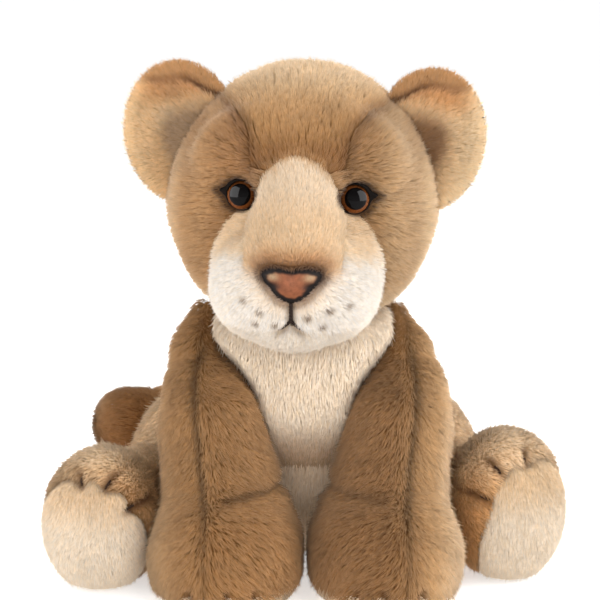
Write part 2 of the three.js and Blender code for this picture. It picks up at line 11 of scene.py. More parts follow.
import bpy
import numpy as np
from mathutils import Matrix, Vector


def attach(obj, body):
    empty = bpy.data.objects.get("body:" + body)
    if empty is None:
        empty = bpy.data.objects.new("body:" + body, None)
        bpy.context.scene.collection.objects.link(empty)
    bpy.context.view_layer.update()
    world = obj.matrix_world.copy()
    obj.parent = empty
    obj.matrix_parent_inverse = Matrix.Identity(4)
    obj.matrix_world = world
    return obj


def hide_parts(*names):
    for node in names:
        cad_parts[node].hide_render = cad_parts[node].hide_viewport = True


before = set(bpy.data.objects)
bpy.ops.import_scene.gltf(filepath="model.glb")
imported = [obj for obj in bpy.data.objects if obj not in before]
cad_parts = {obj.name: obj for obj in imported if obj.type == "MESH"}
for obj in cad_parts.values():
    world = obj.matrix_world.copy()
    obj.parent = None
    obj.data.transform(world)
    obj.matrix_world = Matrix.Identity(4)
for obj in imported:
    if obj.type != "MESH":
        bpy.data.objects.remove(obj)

MM = 0.001
ORIGIN = np.array([0.4398, 4.7045, 0.0])
FLOOR_SKIN = 0.9  # the pressed pile under the toy, in mm
FLOOR_PILE = 0.15


# ---------------------------------------------------------------- numbers
def smin(a, b, k):
    h = np.clip(0.5 + 0.5 * (b - a) / k, 0, 1)
    return b * (1 - h) + a * h - k * h * (1 - h)


def smax(a, b, k):
    return -smin(-a, -b, k)


def ss(a, b, x):
    t = np.clip((x - a) / (b - a), 0, 1)
    return t * t * (3 - 2 * t)


def bell(d, s):
    return np.exp(-((d / s) ** 2))


def unit(v):
    return v / np.maximum(np.linalg.norm(v, axis=-1, keepdims=True), 1e-9)


def egg(p, c, r):
    q = p - np.array(c, float)
    r = np.array(r, float)
    k0 = np.sqrt(((q / r) ** 2).sum(-1))
    k1 = np.sqrt(((q / (r * r)) ** 2).sum(-1))
    return k0 * (k0 - 1) / np.maximum(k1, 1e-6)


def rod(p, a, b, ra, rb):
    a, b = np.array(a, float), np.array(b, float)
    ab = b - a
    t = np.clip(((p - a) @ ab) / (ab @ ab), 0, 1)
    return np.linalg.norm(p - a - t[..., None] * ab, axis=-1) - (ra + (rb - ra) * t)


def turn(axis, deg):
    t = math.radians(deg)
    c, s = math.cos(t), math.sin(t)
    return {
        "x": np.array([[1, 0, 0], [0, c, -s], [0, s, c]]),
        "y": np.array([[c, 0, s], [0, 1, 0], [-s, 0, c]]),
        "z": np.array([[c, -s, 0], [s, c, 0], [0, 0, 1]]),
    }[axis]


def about(p, pivot, axis, deg):
    k = np.array(axis, float)
    k = k / np.linalg.norm(k)
    v = p - np.array(pivot, float)
    c, s = math.cos(math.radians(deg)), math.sin(math.radians(deg))
    return np.array(pivot, float) + v * c + np.cross(k, v) * s + np.outer(v @ k, k) * (1 - c)


def slope(rule, p, e=0.25):
    g = np.stack(
        [rule(p + np.eye(3)[i] * e) - rule(p - np.eye(3)[i] * e) for i in range(3)], -1
    )
    return unit(g)


def lattice(cell, seed):
    c = cell.astype(np.int64).astype(np.uint32)
    with np.errstate(over="ignore"):
        h = (
            c[..., 0] * np.uint32(73856093)
            ^ c[..., 1] * np.uint32(19349663)
            ^ c[..., 2] * np.uint32(83492791)
            ^ np.uint32((seed * 2654435761) & 0xFFFFFFFF)
        )
        h ^= h >> np.uint32(16)
        h *= np.uint32(0x7FEB352D)
        h ^= h >> np.uint32(15)
        h *= np.uint32(0x846CA68B)
        h ^= h >> np.uint32(16)
    return h.astype(np.float64) / 4294967296.0


def noise(p, size, seed):
    """Smooth random value from -1 to 1 at each point, with features of that size."""
    q = p / size
    base = np.floor(q)
    f = q - base
    f = f * f * (3 - 2 * f)
    out = np.zeros(len(p))
    for corner in itertools.product((0, 1), repeat=3):
        w = np.prod([f[:, i] if corner[i] else 1 - f[:, i] for i in range(3)], axis=0)
        out += w * lattice(base + np.array(corner), seed)
    return out * 2 - 1


def tufts(p, size, seed):
    """Vector from each point to the middle of its tuft, and one random value per tuft."""
    base = np.floor(p / size)
    best = np.full(len(p), 1e18)
    off = np.zeros_like(p)
    tag = np.zeros(len(p))
    for step in itertools.product((-1, 0, 1), repeat=3):
        cell = base + np.array(step)
        jit = np.stack([lattice(cell, seed + k) for k in (1, 2, 3)], -1)
        d = (cell + 0.1 + 0.8 * jit) * size - p
        r = (d**2).sum(-1)
        near = r < best
        best = np.where(near, r, best)
        off = np.where(near[:, None], d, off)
        tag = np.where(near, jit[:, 0], tag)
    return off, tag


def linear(rgb):
    c = np.clip(np.asarray(rgb, float) / 255.0, 0, 1)
    return np.where(c <= 0.04045, c / 12.92, ((c + 0.055) / 1.055) ** 2.4)


def tame(c, top):
    """Colours no brighter than that, with their hue kept."""
    return c * np.minimum(1, top / np.maximum(c.max(-1, keepdims=True), 1e-6))


def mix(a, b, t):
    a, b = np.asarray(a, float), np.asarray(b, float)
    t = np.asarray(t, float)[..., None]
    return a * (1 - t) + b * t


def smooth_loop(points, n):
    """Closed smooth outline through the points."""
    p = np.array(points, float)
    m = len(p)
    x = np.arange(n) * m / n
    i = x.astype(int)
    f = (x - i)[:, None]
    p0, p1, p2, p3 = p[(i - 1) % m], p[i % m], p[(i + 1) % m], p[(i + 2) % m]
    return 0.5 * (
        2 * p1
        + (p2 - p0) * f
        + (2 * p0 - 5 * p1 + 4 * p2 - p3) * f**2
        + (3 * p1 - p0 - 3 * p2 + p3) * f**3
    )


def outline(x, z, loop):
    """Signed distance to a closed outline, negative inside."""
    d = np.full(x.shape, 1e18)
    inside = np.zeros(x.shape, bool)
    for (ax, az), (bx, bz) in zip(loop, np.roll(loop, -1, 0)):
        ex, ez = bx - ax, bz - az
        t = np.clip(((x - ax) * ex + (z - az) * ez) / max(ex * ex + ez * ez, 1e-12), 0, 1)
        d = np.minimum(d, (x - ax - t * ex) ** 2 + (z - az - t * ez) ** 2)
        if abs(bz - az) > 1e-12:
            inside ^= ((az > z) != (bz > z)) & (x < (bx - ax) * (z - az) / (bz - az) + ax)
    return np.where(inside, -1, 1) * np.sqrt(d)


def path_distance(p, points):
    pts = np.array(points, float)
    d = np.full(len(p), 1e18)
    for a, b in zip(pts[:-1], pts[1:]):
        ab = b - a
        t = np.clip(((p - a) @ ab) / max(ab @ ab, 1e-9), 0, 1)
        d = np.minimum(d, np.linalg.norm(p - a - t[:, None] * ab, axis=1))
    return d


# ---------------------------------------------------------------- soft shapes
HEAD_C = np.array([-1.0, -5.0, 186.0])
HEAD_R = turn("z", -3.0) @ turn("y", 1.7)
NECK = np.array([-0.5, 4.0, 126.0])
NECK_RADIUS = 28.0
SHOULDER = (48, -14, 108)
HIP = (58, 32, 38)
TAIL_PIVOT = (-2, 72, 36)
FOOT = {-1: (97.3, -45.0, 32.0), 1: (97.5, -32.0, 36.0)}
FOOT_TALL = {-1: 33.0, 1: 35.5}
FOOT_TURN = 18
TAIL = [
    ((-4, 74, 34), 15.0),
    ((-20, 88, 36), 15.5),
    ((-46, 94, 42), 15.5),
    ((-73, 86, 50), 16.0),
    ((-94.5, 67, 54), 16.5),
]


def head_rule(q):
    p = q.copy()
    p[..., 0] = np.abs(p[..., 0])
    d = egg(p, (0, 8, 5.5), (57, 57, 56.5))
    d = smin(d, egg(p, (34.5, -3, -7), (26.5, 38, 30)), 16)
    d = smin(d, egg(p, (25.5, -8, -30), (24.5, 36, 24)), 14)
    d = smin(d, egg(p, (25, -37, 22), (19, 14, 16)), 17)
    m = egg(p, (0, -48, -35), (30, 37, 25))
    m = smin(m, egg(p, (18, -53, -40), (20, 26, 21)), 9)
    m = smin(m, egg(p, (0, -60, -54), (16, 18, 11)), 8)
    d = smin(d, m, 10)
    b = rod(p, (0, -40, 19), (0, -70, -18), 17.2, 18)
    b = smin(b, rod(p, (6, -43, 12), (8, -69, -18), 14.2, 13.5), 4)
    return smin(d, b, 10)


def to_head(p):
    return (p - HEAD_C) @ HEAD_R


def head_world_rule(p):
    return head_rule(to_head(p))


def torso_rule(q):
    p = q.copy()
    p[..., 0] = np.abs(p[..., 0])
    d = egg(p, (0, 28, 46), (58, 56, 50))
    d = smin(d, egg(p, (0, 22, 76), (50, 42, 40)), 16)
    d = smin(d, egg(p, (0, -2, 94), (52, 44, 40)), 16)
    d = smin(d, egg(p, (0, 2, 112), (51, 42, 27)), 12)
    return smax(d, -p[..., 2], 4)


def foreleg_rule(q, s):
    p = q.copy()
    p[..., 0] = p[..., 0] * s
    top = 53.0 if s < 0 else 49.5
    d = rod(p, (top - 5, 0, 127), (top, -14, 107), 4.0, 11.0)
    d = smin(d, rod(p, (top, -14, 107), (50, -26, 92), 11.0, 16.5), 8)
    d = smin(d, rod(p, (50, -26, 92), (46.5, -36, 78), 16.5, 21.6), 9)
    d = smin(d, rod(p, (46.5, -36, 78), (38.5, -52, 40), 21.6, 25.5), 9)
    d = smin(d, egg(p, (37, -67, 19), (33.5, 38, 32.5)), 9)
    d = d + 3.4 * ss(48, 84, p[..., 2]) * ss(124, 106, p[..., 2]) * ss(30, 48, p[..., 0])  # flatter outer side
    return smax(d, -p[..., 2], 4)


def foot_frame(p, s):
    q = p.copy()
    q[..., 0] = q[..., 0] * s
    return (q - np.array(FOOT[s])) @ turn("z", FOOT_TURN)


def hind_rule(q, s):
    p = q.copy()
    p[..., 0] = p[..., 0] * s
    fx, fy, _ = FOOT[s]
    d = egg(p, HIP, (30, 36, 40))
    d = smax(d, -(p[..., 0] - 44), 6)
    d = smin(d, rod(p, (60, 18, 32), (fx - 4, fy + 10, 32), 27, 24), 12)
    t = foot_frame(q, s)
    foot = egg(t, (0, -2, 0), (25.5, 31, FOOT_TALL[s]))
    foot = smax(foot, -(t[..., 1] + 23), 8)
    d = smin(d, foot, 8)
    return smax(d, -p[..., 2], 4)


def tail_rule(p):
    d = None
    for (a, ra), (b, rb) in zip(TAIL[:-1], TAIL[1:]):
        x = rod(p, a, b, ra, rb)
        d = x if d is None else smin(d, x, 6)
    return d


def limbs_near(p):
    """Distance from the nearest limb that lies against the torso, over its travel."""
    d = np.full(len(p), 1e9)
    for yaw, nod in ((0, 0), (-25, 0), (25, 0), (0, -14), (0, 4)):
        a = about(p, NECK, (0, 0, 1), -yaw)
        d = np.minimum(d, head_world_rule(about(a, NECK, (1, 0, 0), -nod)))
    for s in (-1, 1):
        for lift in (0, 20):
            d = np.minimum(
                d, foreleg_rule(about(p, (SHOULDER[0] * s, *SHOULDER[1:]), (-1, 0, 0), -lift), s)
            )
        for spread in (0, 20):
            d = np.minimum(d, hind_rule(about(p, (HIP[0] * s, *HIP[1:]), (0, 0, s), -spread), s))
    for swing in (0, 20, 40):
        d = np.minimum(d, tail_rule(about(p, TAIL_PIVOT, (0, 0, -1), -swing)))
    return d


def torso_body_rule(p):
    return smax(torso_rule(p), 3.0 - limbs_near(p), 3)


# ---------------------------------------------------------------- closed surfaces
def ball_grid(nu, nv):
    th = np.linspace(0, np.pi, nv + 1)[1:-1]
    ph = np.linspace(0, 2 * np.pi, nu, endpoint=False)
    T, P = np.meshgrid(th, ph, indexing="ij")
    ring = np.stack([np.sin(T) * np.cos(P), np.sin(T) * np.sin(P), np.cos(T)], -1).reshape(-1, 3)
    return np.concatenate([[[0, 0, 1.0]], ring, [[0, 0, -1.0]]])


def ball_faces(nu, nv):
    rows = nv - 1
    i, j = np.meshgrid(np.arange(rows - 1), np.arange(nu), indexing="ij")
    i, j = i.ravel(), j.ravel()
    k = (j + 1) % nu
    a, b = 1 + i * nu + j, 1 + i * nu + k
    d, c = 1 + (i + 1) * nu + j, 1 + (i + 1) * nu + k
    j = np.arange(nu)
    k = (j + 1) % nu
    last = 1 + rows * nu
    return np.concatenate(
        [
            np.stack([0 * j, 1 + j, 1 + k], 1),
            np.stack([a, d, c], 1),
            np.stack([a, c, b], 1),
            np.stack([1 + (rows - 1) * nu + j, 0 * j + last, 1 + (rows - 1) * nu + k], 1),
        ]
    )


def outward(V, F):
    a, b, c = V[F[:, 0]], V[F[:, 1]], V[F[:, 2]]
    return F if (a * np.cross(b, c)).sum() > 0 else F[:, ::-1].copy()


def mesh_normals(V, F):
    n = np.cross(V[F[:, 1]] - V[F[:, 0]], V[F[:, 2]] - V[F[:, 0]])
    out = np.zeros_like(V)
    for k in range(3):
        np.add.at(out, F[:, k], n)
    return unit(out)


def star(rule, centre, axis, stretch, nu, nv, far=150.0, steps=44):
    """Closed surface where rays from the centre leave the shape for the last time."""
    g = ball_grid(nu, nv)
    d = unit(np.array(axis, float))
    h = np.array([1.0, 0, 0]) if abs(d[0]) < 0.8 else np.array([0, 1.0, 0])
    u = unit(np.cross(h, d))
    v = np.cross(d, u)
    rays = unit(g[:, :1] * u + g[:, 1:2] * v + g[:, 2:] * d * stretch)
    c = np.array(centre, float)
    lo, hi = np.zeros(len(rays)), np.full(len(rays), far)
    open_ = np.ones(len(rays), bool)
    for k in range(steps, 0, -1):
        t = far * k / steps
        idx = np.where(open_)[0]
        ins = idx[rule(c + rays[idx] * t) < 0]
        lo[ins], hi[ins] = t, far * (k + 1) / steps
        open_[ins] = False
    for _ in range(15):
        m = (lo + hi) / 2
        ins = rule(c + rays * m[:, None]) < 0
        lo, hi = np.where(ins, m, lo), np.where(ins, hi, m)
    V = c + rays * ((lo + hi) / 2)[:, None]
    return V, outward(V - c, ball_faces(nu, nv))


def line_at(points, t):
    P = np.array(points, float)
    n = len(P) - 1
    x = np.clip(t, 0, 1) * n
    i = np.minimum(x.astype(int), n - 1)
    f = (x - i)[:, None]
    p1, p2 = P[i], P[i + 1]
    p0 = np.where((i == 0)[:, None], 2 * p1 - p2, P[np.maximum(i - 1, 0)])
    p3 = np.where((i == n - 1)[:, None], 2 * p2 - p1, P[np.minimum(i + 2, n)])
    return 0.5 * (
        2 * p1
        + (p2 - p0) * f
        + (2 * p0 - 5 * p1 + 4 * p2 - p3) * f**2
        + (3 * p1 - p0 - 3 * p2 + p3) * f**3
    )


def tail_surface(nu, nv):
    g = ball_grid(nu, nv)
    cap = 0.14
    v = 1 - np.arccos(np.clip(g[:, 2], -1, 1)) / np.pi
    s = np.clip((v - cap) / (1 - 2 * cap), 0, 1)
    line = [p for p, _ in TAIL]
    c = line_at(line, s)
    tg = unit(line_at(line, np.clip(s + 1e-3, 0, 1)) - line_at(line, np.clip(s - 1e-3, 0, 1)))
    u = unit(np.cross([0, 0, 1.0], tg))
    w = np.cross(tg, u)
    al = np.where(v < cap, -(1 - v / cap), np.where(v > 1 - cap, (v - 1 + cap) / cap, 0)) * np.pi / 2
    r = np.hypot(g[:, 0], g[:, 1])
    rr = np.maximum(r, 1e-6)[:, None]
    side = u * g[:, :1] / rr + w * g[:, 1:2] / rr
    ray = unit(side * np.cos(al)[:, None] * (r > 1e-6)[:, None] + tg * np.sin(al)[:, None])
    lo, hi = np.zeros(len(g)), np.full(len(g), 60.0)
    open_ = np.ones(len(g), bool)
    for k in range(1, 61):
        out = open_ & (tail_rule(c + ray * k) > 0)
        lo[out], hi[out] = k - 1, k
        open_ &= ~out
    for _ in range(15):
        m = (lo + hi) / 2
        ins = tail_rule(c + ray * m[:, None]) < 0
        lo, hi = np.where(ins, m, lo), np.where(ins, hi, m)
    V = c + ray * ((lo + hi) / 2)[:, None]
    return V, outward(V - V.mean(0), ball_faces(nu, nv))


def clip(V, N, F, f):
    """The part of a surface where f is not negative, cut along f = 0."""
    f = np.where(np.abs(f) < 1e-4, 1e-4, f)
    ins = f >= 0
    k = ins[F].sum(1)
    whole, part = F[k == 3], F[(k == 1) | (k == 2)]
    kk = ins[part].sum(1)
    odd = np.where(kk == 1, np.argmax(ins[part], 1), np.argmin(ins[part], 1))
    r = np.arange(len(part))
    a, b, c = part[r, odd], part[r, (odd + 1) % 3], part[r, (odd + 2) % 3]
    ends = np.sort(np.concatenate([np.stack([a, b], 1), np.stack([a, c], 1)]), 1)
    key, inv = np.unique(ends[:, 0] * len(V) + ends[:, 1], return_inverse=True)
    e0, e1 = key // len(V), key % len(V)
    t = (f[e0] / (f[e0] - f[e1]))[:, None]
    V2 = np.concatenate([V, V[e0] + (V[e1] - V[e0]) * t])
    N2 = np.concatenate([N, unit(N[e0] + (N[e1] - N[e0]) * t)])
    ab, ac = len(V) + inv[: len(part)], len(V) + inv[len(part) :]
    one = kk == 1
    F2 = np.concatenate(
        [
            whole,
            np.stack([a, ab, ac], 1)[one],
            np.stack([ab, b, c], 1)[~one],
            np.stack([ab, c, ac], 1)[~one],
        ]
    )
    used = np.unique(F2)
    back = np.zeros(len(V2), np.int64)
    back[used] = np.arange(len(used))
    return V2[used], N2[used], back[F2]


def shell(V, N, F, thick):
    """A closed skin of that thickness, its outside on the surface."""
    n = len(V)
    E = np.concatenate([F[:, [0, 1]], F[:, [1, 2]], F[:, [2, 0]]])
    rim = E[~np.isin(E[:, 0] * n + E[:, 1], E[:, 1] * n + E[:, 0])]
    a, b = rim[:, 0], rim[:, 1]
    faces = np.concatenate(
        [F, F[:, ::-1] + n, np.stack([b, a, a + n], 1), np.stack([b, a + n, b + n], 1)]
    )
    return np.concatenate([V, V - N * thick]), np.concatenate([N, -N]), faces


# ---------------------------------------------------------------- materials
def node_material(name, roughness=0.9, **sockets):
    m = bpy.data.materials.new(name)
    m.use_nodes = True
    b = m.node_tree.nodes["Principled BSDF"]
    b.inputs["Roughness"].default_value = roughness
    for k, v in sockets.items():
        b.inputs[k.replace("_", " ")].default_value = v
    return m, m.node_tree, b


def add(tree, kind, **values):
    n = tree.nodes.new(kind)
    for k, v in values.items():
        if k.startswith("in_"):
            key = k[3:]
            n.inputs[int(key) if key.isdigit() else key.replace("_", " ")].default_value = v
        else:
            setattr(n, k, v)
    return n


def painted(name, attribute, roughness, spread, size, **sockets):
    """Colour from the zones of the piece, broken up by a fine procedural mottle."""
    m, tree, b = node_material(name, roughness, **sockets)
    col = add(tree, "ShaderNodeAttribute", attribute_name=attribute)
    tex = add(tree, "ShaderNodeTexNoise", in_Scale=size, in_Detail=3.0)
    pos = add(tree, "ShaderNodeTexCoord")
    tree.links.new(pos.outputs["Object"], tex.inputs["Vector"])
    rng = add(tree, "ShaderNodeMapRange", in_To_Min=1 - spread, in_To_Max=1 + spread)
    rng.inputs["From Min"].default_value, rng.inputs["From Max"].default_value = 0.3, 0.7
    tree.links.new(tex.outputs["Fac"], rng.inputs["Value"])
    mul = add(tree, "ShaderNodeVectorMath", operation="SCALE")
    tree.links.new(col.outputs["Color"], mul.inputs[0])
    tree.links.new(rng.outputs["Result"], mul.inputs["Scale"])
    tree.links.new(mul.outputs["Vector"], b.inputs["Base Color"])
    return m, tree, b


def plush_material(name, sheen):
    m, tree, b = painted(
        name,
        "pile",
        0.82,
        0.07,
        420.0,
        Sheen_Weight=sheen,
        Sheen_Roughness=0.45,
        Sheen_Tint=(1.0, 0.84, 0.66, 1),
        Specular_IOR_Level=0.08,
    )
    return m


PLUSH = {
    "plush_tan": plush_material("tan_plush", 0.22),
    "plush_cream": plush_material("cream_plush", 0.3),
    "plush_white": plush_material("white_plush", 0.3),
    "plush_peach": plush_material("peach_plush", 0.3),
    "plush_dark": plush_material("dark_plush", 0.3),
}


# ---------------------------------------------------------------- making pieces
def in_row(p):
    return (p - ORIGIN) * MM


def head_place(p):
    return in_row(p @ HEAD_R.T + HEAD_C)


def head_spin(n):
    return n @ HEAD_R.T


def swatches(colours):
    """A place on a 32 by 32 chart for every colour, like beside like."""
    n = len(colours)
    lum = colours @ np.array([0.3, 0.55, 0.15])
    tint = (colours[:, 0] - colours[:, 2]) / np.maximum(lum, 1e-4)
    order = np.argsort(lum, kind="stable")
    row = np.empty(n, np.int64)
    row[order] = np.arange(n) * 32 // n
    cell = np.empty((n, 2))
    for r in range(32):
        i = np.where(row == r)[0]
        i = i[np.argsort(tint[i], kind="stable")]
        cell[i, 0] = np.arange(len(i)) * 32 // max(len(i), 1)
        cell[i, 1] = r
    return (cell + 0.5) / 32


def make(name, V, F, N, colours, loops_uv, material, body, nodes):
    me = bpy.data.meshes.new(name)
    me.vertices.add(len(V))
    me.vertices.foreach_set("co", V.astype(np.float32).ravel())
    me.loops.add(len(F) * 3)
    me.loops.foreach_set("vertex_index", F.astype(np.int32).ravel())
    me.polygons.add(len(F))
    me.polygons.foreach_set("loop_start", np.arange(len(F), dtype=np.int32) * 3)
    me.polygons.foreach_set("use_smooth", np.ones(len(F), bool))
    me.update(calc_edges=True)
    if colours is not None:
        rgba = np.concatenate([colours, np.ones((len(V), 1))], 1).astype(np.float32)
        me.attributes.new("pile", "FLOAT_COLOR", "POINT").data.foreach_set("color", rgba.ravel())
    if loops_uv is not None:
        me.uv_layers.new(name="OFBake").data.foreach_set("uv", loops_uv.astype(np.float32).ravel())
    if N is not None:
        me.attributes.new("custom_normal", "FLOAT_VECTOR", "POINT").data.foreach_set(
            "vector", unit(N).astype(np.float32).ravel()
        )
    me.materials.append(material)
    o = bpy.data.objects.new(name, me)
    bpy.context.scene.collection.objects.link(o)
    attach(o, body)
    if nodes:
        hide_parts(*nodes)
    return o


SEEDS = itertools.count(11)


def plush(name, nodes, body, surface, field, style, density, slot, place=in_row, spin=None, shade=None):
    """One sewn panel: a closed skin cut along its seams, and the pile that stands on it.

    style(points, normals) gives, for each fibre, its nap direction, length, lean, width,
    colour, how dark its root is, how strongly it tufts and the chance that it is there.
    """
    seed = next(SEEDS)
    rng = np.random.default_rng(seed)
    V, N, F = surface if field is None else clip(*surface, field)
    sV, sN, sF = shell(V, N, F, 1.6)
    if place is in_row:
        sV[:, 2] = np.maximum(sV[:, 2], FLOOR_SKIN)
    st = style(V, N)
    # The skin takes the darker, warmer root colour: partly its own colour, partly painted shade deep in the pile.
    skin_colour = linear(st["col"]) * st["root"][:, None] * np.array([0.93, 0.86, 0.76])
    skin_colour = np.concatenate([skin_colour, skin_colour * 0.8])

    a, b, c = V[F[:, 0]], V[F[:, 1]], V[F[:, 2]]
    area = 0.5 * np.linalg.norm(np.cross(b - a, c - a), axis=1)
    count = int(area.sum() * density)
    u = (np.arange(count) + rng.random(count)) / count
    f = np.minimum(np.searchsorted(np.cumsum(area) / area.sum(), u), len(F) - 1)
    r1, r2 = np.sqrt(rng.random(count)), rng.random(count)
    w = np.stack([1 - r1, r1 * (1 - r2), r1 * r2], 1)[:, :, None]
    P = (V[F[f]] * w).sum(1)
    n = unit((N[F[f]] * w).sum(1))
    st = style(P, n)
    ok = rng.random(count) < st["keep"]
    P, n = P[ok], n[ok]
    st = {k: v[ok] for k, v in st.items()}
    k = len(P)

    nap = st["nap"] - n * (st["nap"] * n).sum(1, keepdims=True)
    nap = unit(nap)
    swing = 0.26 * noise(P, 15.0, seed) + 0.12 * noise(P, 5.0, seed + 7) + 0.1 * rng.standard_normal(k)
    nap = nap * np.cos(swing)[:, None] + np.cross(n, nap) * np.sin(swing)[:, None]
    lean = st["lean"] + 0.09 * noise(P, 8.0, seed + 13) + 0.07 * rng.standard_normal(k)
    lean = np.clip(lean, 0.15, 1.45)
    stray = rng.random(k) < 0.05
    length = st["length"] * (0.78 + 0.36 * rng.random(k)) * np.where(stray, 1.15, 1.0)
    lean = np.where(stray, lean * 0.66, lean)
    width = st["width"] * (0.8 + 0.4 * rng.random(k))

    off, tag = tufts(P, st["tuft_size"].mean(), seed)
    off = off - n * (off * n).sum(1, keepdims=True)
    tuft_centre_light = 1 - np.linalg.norm(off, axis=1) / (0.62 * st["tuft_size"])
    up = lambda ang: n * np.cos(ang)[:, None] + nap * np.sin(ang)[:, None]
    root = P - n * 0.7
    mid = root + up(lean * 0.55) * (0.42 * length + 0.7)[:, None] + off * (0.25 * st["tuft"])[:, None]
    tip = mid + up(np.minimum(lean * 1.35, 1.62)) * (0.58 * length)[:, None] + off * (0.6 * st["tuft"])[:, None]
    axis = unit(tip - root)
    s1 = unit(np.cross(axis, n + 0.01))
    s2 = np.cross(axis, s1)
    spun = rng.random(k) * 2 * np.pi
    ring = [
        mid + (s1 * np.cos(spun + q)[:, None] + s2 * np.sin(spun + q)[:, None]) * width[:, None]
        for q in (0, 2 * np.pi / 3, 4 * np.pi / 3)
    ]
    sides = [unit(r - mid) for r in ring]
    pV = np.stack([root, *ring, tip], 1).reshape(-1, 3)
    soft = n * 0.85
    pN = np.stack([n, *[soft + 0.35 * q for q in sides], n * 0.9 + nap * 0.25], 1).reshape(-1, 3)
    i = (np.arange(k) * 5)[:, None, None]
    one = np.array([[0, 2, 1], [0, 3, 2], [0, 1, 3], [4, 1, 2], [4, 2, 3], [4, 3, 1]])[None]
    pF = (i + one).reshape(-1, 3)

    # Random tone, with each tuft painted paler at its middle and darker at its edge: painted light and shade on the
    # tufts.
    tone = 0.11 * noise(P, 14.0, seed + 3) + 0.13 * (tag - 0.5) + 0.16 * (tuft_centre_light - 0.35) + 0.06 * (rng.random(k) - 0.5)
    tone = 1 + st["vary"] * tone
    base = linear(st["col"]) * tone[:, None]
    warm = 1 + np.array([0.03, 0.0, -0.05]) * rng.standard_normal(k)[:, None]
    base = tame(np.maximum(base * warm, 0.003), 0.9)
    # Fibres are darker and warmer at the root and paler at the tip: partly the fibre's own colour, partly painted shade
    # deep in the pile and painted light on the tips.
    dark = base * st["root"][:, None] * np.array([0.98, 0.92, 0.83])
    light = tame(base * 1.12 + np.array([0.018, 0.022, 0.026]), 0.95)
    pC = np.stack([dark, *[dark * 0.35 + base * 0.65] * 3, light], 1).reshape(-1, 3)

    uv = swatches(np.concatenate([skin_colour[sF].mean(1), base]))
    h = 0.36 / 32
    skin_uv = uv[: len(sF), None, :] + np.array([[-h, -h], [h, -h], [0, h]])[None]
    corner = np.array([[0, -h], [-h, 0], [h, 0], [0.4 * h, 0.2 * h], [0, h]])
    pile_uv = uv[len(sF) :, None, :] + corner[one[0].ravel()][None]
    loops_uv = np.concatenate([skin_uv.reshape(-1, 2), pile_uv.reshape(-1, 2)])

    if place is in_row:
        pV[:, 2] = np.maximum(pV[:, 2], FLOOR_PILE + 0.3 * rng.random(len(pV)))
    allN = np.concatenate([sN, pN])
    o = make(
        name,
        place(np.concatenate([sV, pV])),
        np.concatenate([sF, pF + len(sV)]),
        spin(allN) if spin else allN,
        np.concatenate([skin_colour, pC]),
        loops_uv,
        PLUSH[slot],
        body,
        nodes,
    )
    print(f"PIECE {name} area {area.sum():.0f} mm2 fibres {k} faces {len(sF) + len(pF)}")
    return o


def blank(p, col, length, lean, width=0.21, root=0.6, tuft=0.4, tuft_size=3.0, vary=1.0):
    n = len(p)
    full = lambda v: np.full(n, float(v))
    return {
        "nap": np.zeros((n, 3)),
        "length": full(length),
        "lean": full(lean),
        "width": full(width),
        "col": np.tile(np.array(col, float), (n, 1)),
        "root": full(root),
        "tuft": full(tuft),
        "tuft_size": full(tuft_size),
        "vary": full(vary),
        "keep": full(1.0),
    }


def crowd(st, near, hide=2.0):
    """Pile that lies against another limb is pressed short, and thin where it is hidden."""
    st["length"] = np.minimum(st["length"], np.clip(near * 0.8 + 1.6, 1.8, 99))
    st["keep"] = np.where(near < hide, st["keep"] * 0.45, st["keep"])


# ---------------------------------------------------------------- head
BRIDGE = smooth_loop(
    [(0, 20.5), (6, 19), (11, 15.5), (15.5, 10.5), (19, 4.5), (21.2, -5), (21.8, -18), (20, -30), (17, -40), (8, -44.5),
     (0, -45.5), (-8, -44.5), (-17, -40), (-20, -30), (-21.8, -18), (-21.2, -5), (-19, 4.5), (-15.5, 10.5), (-11, 15.5), (-6, 19)],
    90,
)
MUZZLE = smooth_loop(
    [(0, -1), (22, -1.5), (32.2, -10), (38.8, -26), (38, -44), (29.4, -58), (15, -72), (0, -76), (-15, -72),
     (-29, -58), (-37.6, -44), (-38.4, -26), (-32, -10), (-22, -1.5)],
    84,
)
CROWN = np.array(
    [(20, 16), (23.6, 32), (30, 40), (44, 46), (44, 90), (-44, 90), (-44, 46), (-30, 40), (-23.6, 32), (-20, 16), (0, 12)],
    float,
)
NOSE = smooth_loop(
    [(0, -25), (8, -24.6), (13.2, -26.8), (13.6, -30.2), (10, -35.2), (5.6, -39.6), (0, -41.4), (-5.6, -39.6),
     (-10, -35.2), (-13.6, -30.2), (-13.2, -26.8), (-8, -24.6)],
    96,
)
EYE_X, EYE_Z, EYE_RADIUS, EYE_HEIGHT, EYE_SHANK, EYE_DEPTH = 26.6, 3.5, 7.0, 5.4, 2.4, 15.0
EYE_PATCH = smooth_loop(
    [(-7.9, -0.5), (-6.0, 5.0), (0, 8.0), (5.2, 6.5), (8.0, 3.6), (10.9, 1.6), (8.1, -1.0), (5.9, -5.2), (0, -7.8), (-5.7, -5.5)], 80
) + np.array([EYE_X, EYE_Z])
SPOTS = [(7, -46.6), (16, -43), (13, -50.5), (24, -41.5), (-13.5, -44.6), (-20, -40), (-6.5, -50.5), (-15, -50)]
MOUTH = [[(0, -41.8), (0, -46), (0.1, -50.6)], [(0.1, -50.2), (1.6, -51.8), (3.4, -53.6), (5.6, -55.0)],
         [(0, -50.2), (-1.6, -51.8), (-3.4, -53.6), (-5.6, -55.0)]]
NECK_IN_HEAD = to_head(NECK[None])[0]


def face_y(x, z, level=0.0, start=-130.0):
    """How far forward the head's surface is at these places, raised by a level."""
    x, z = np.broadcast_arrays(np.asarray(x, float), np.asarray(z, float))
    y = np.full(x.shape, start)
    for _ in range(90):
        d = head_rule(np.stack([x, y, z], -1)) - level
        y = y + np.clip(d * 0.6, -2, 6)
    return y


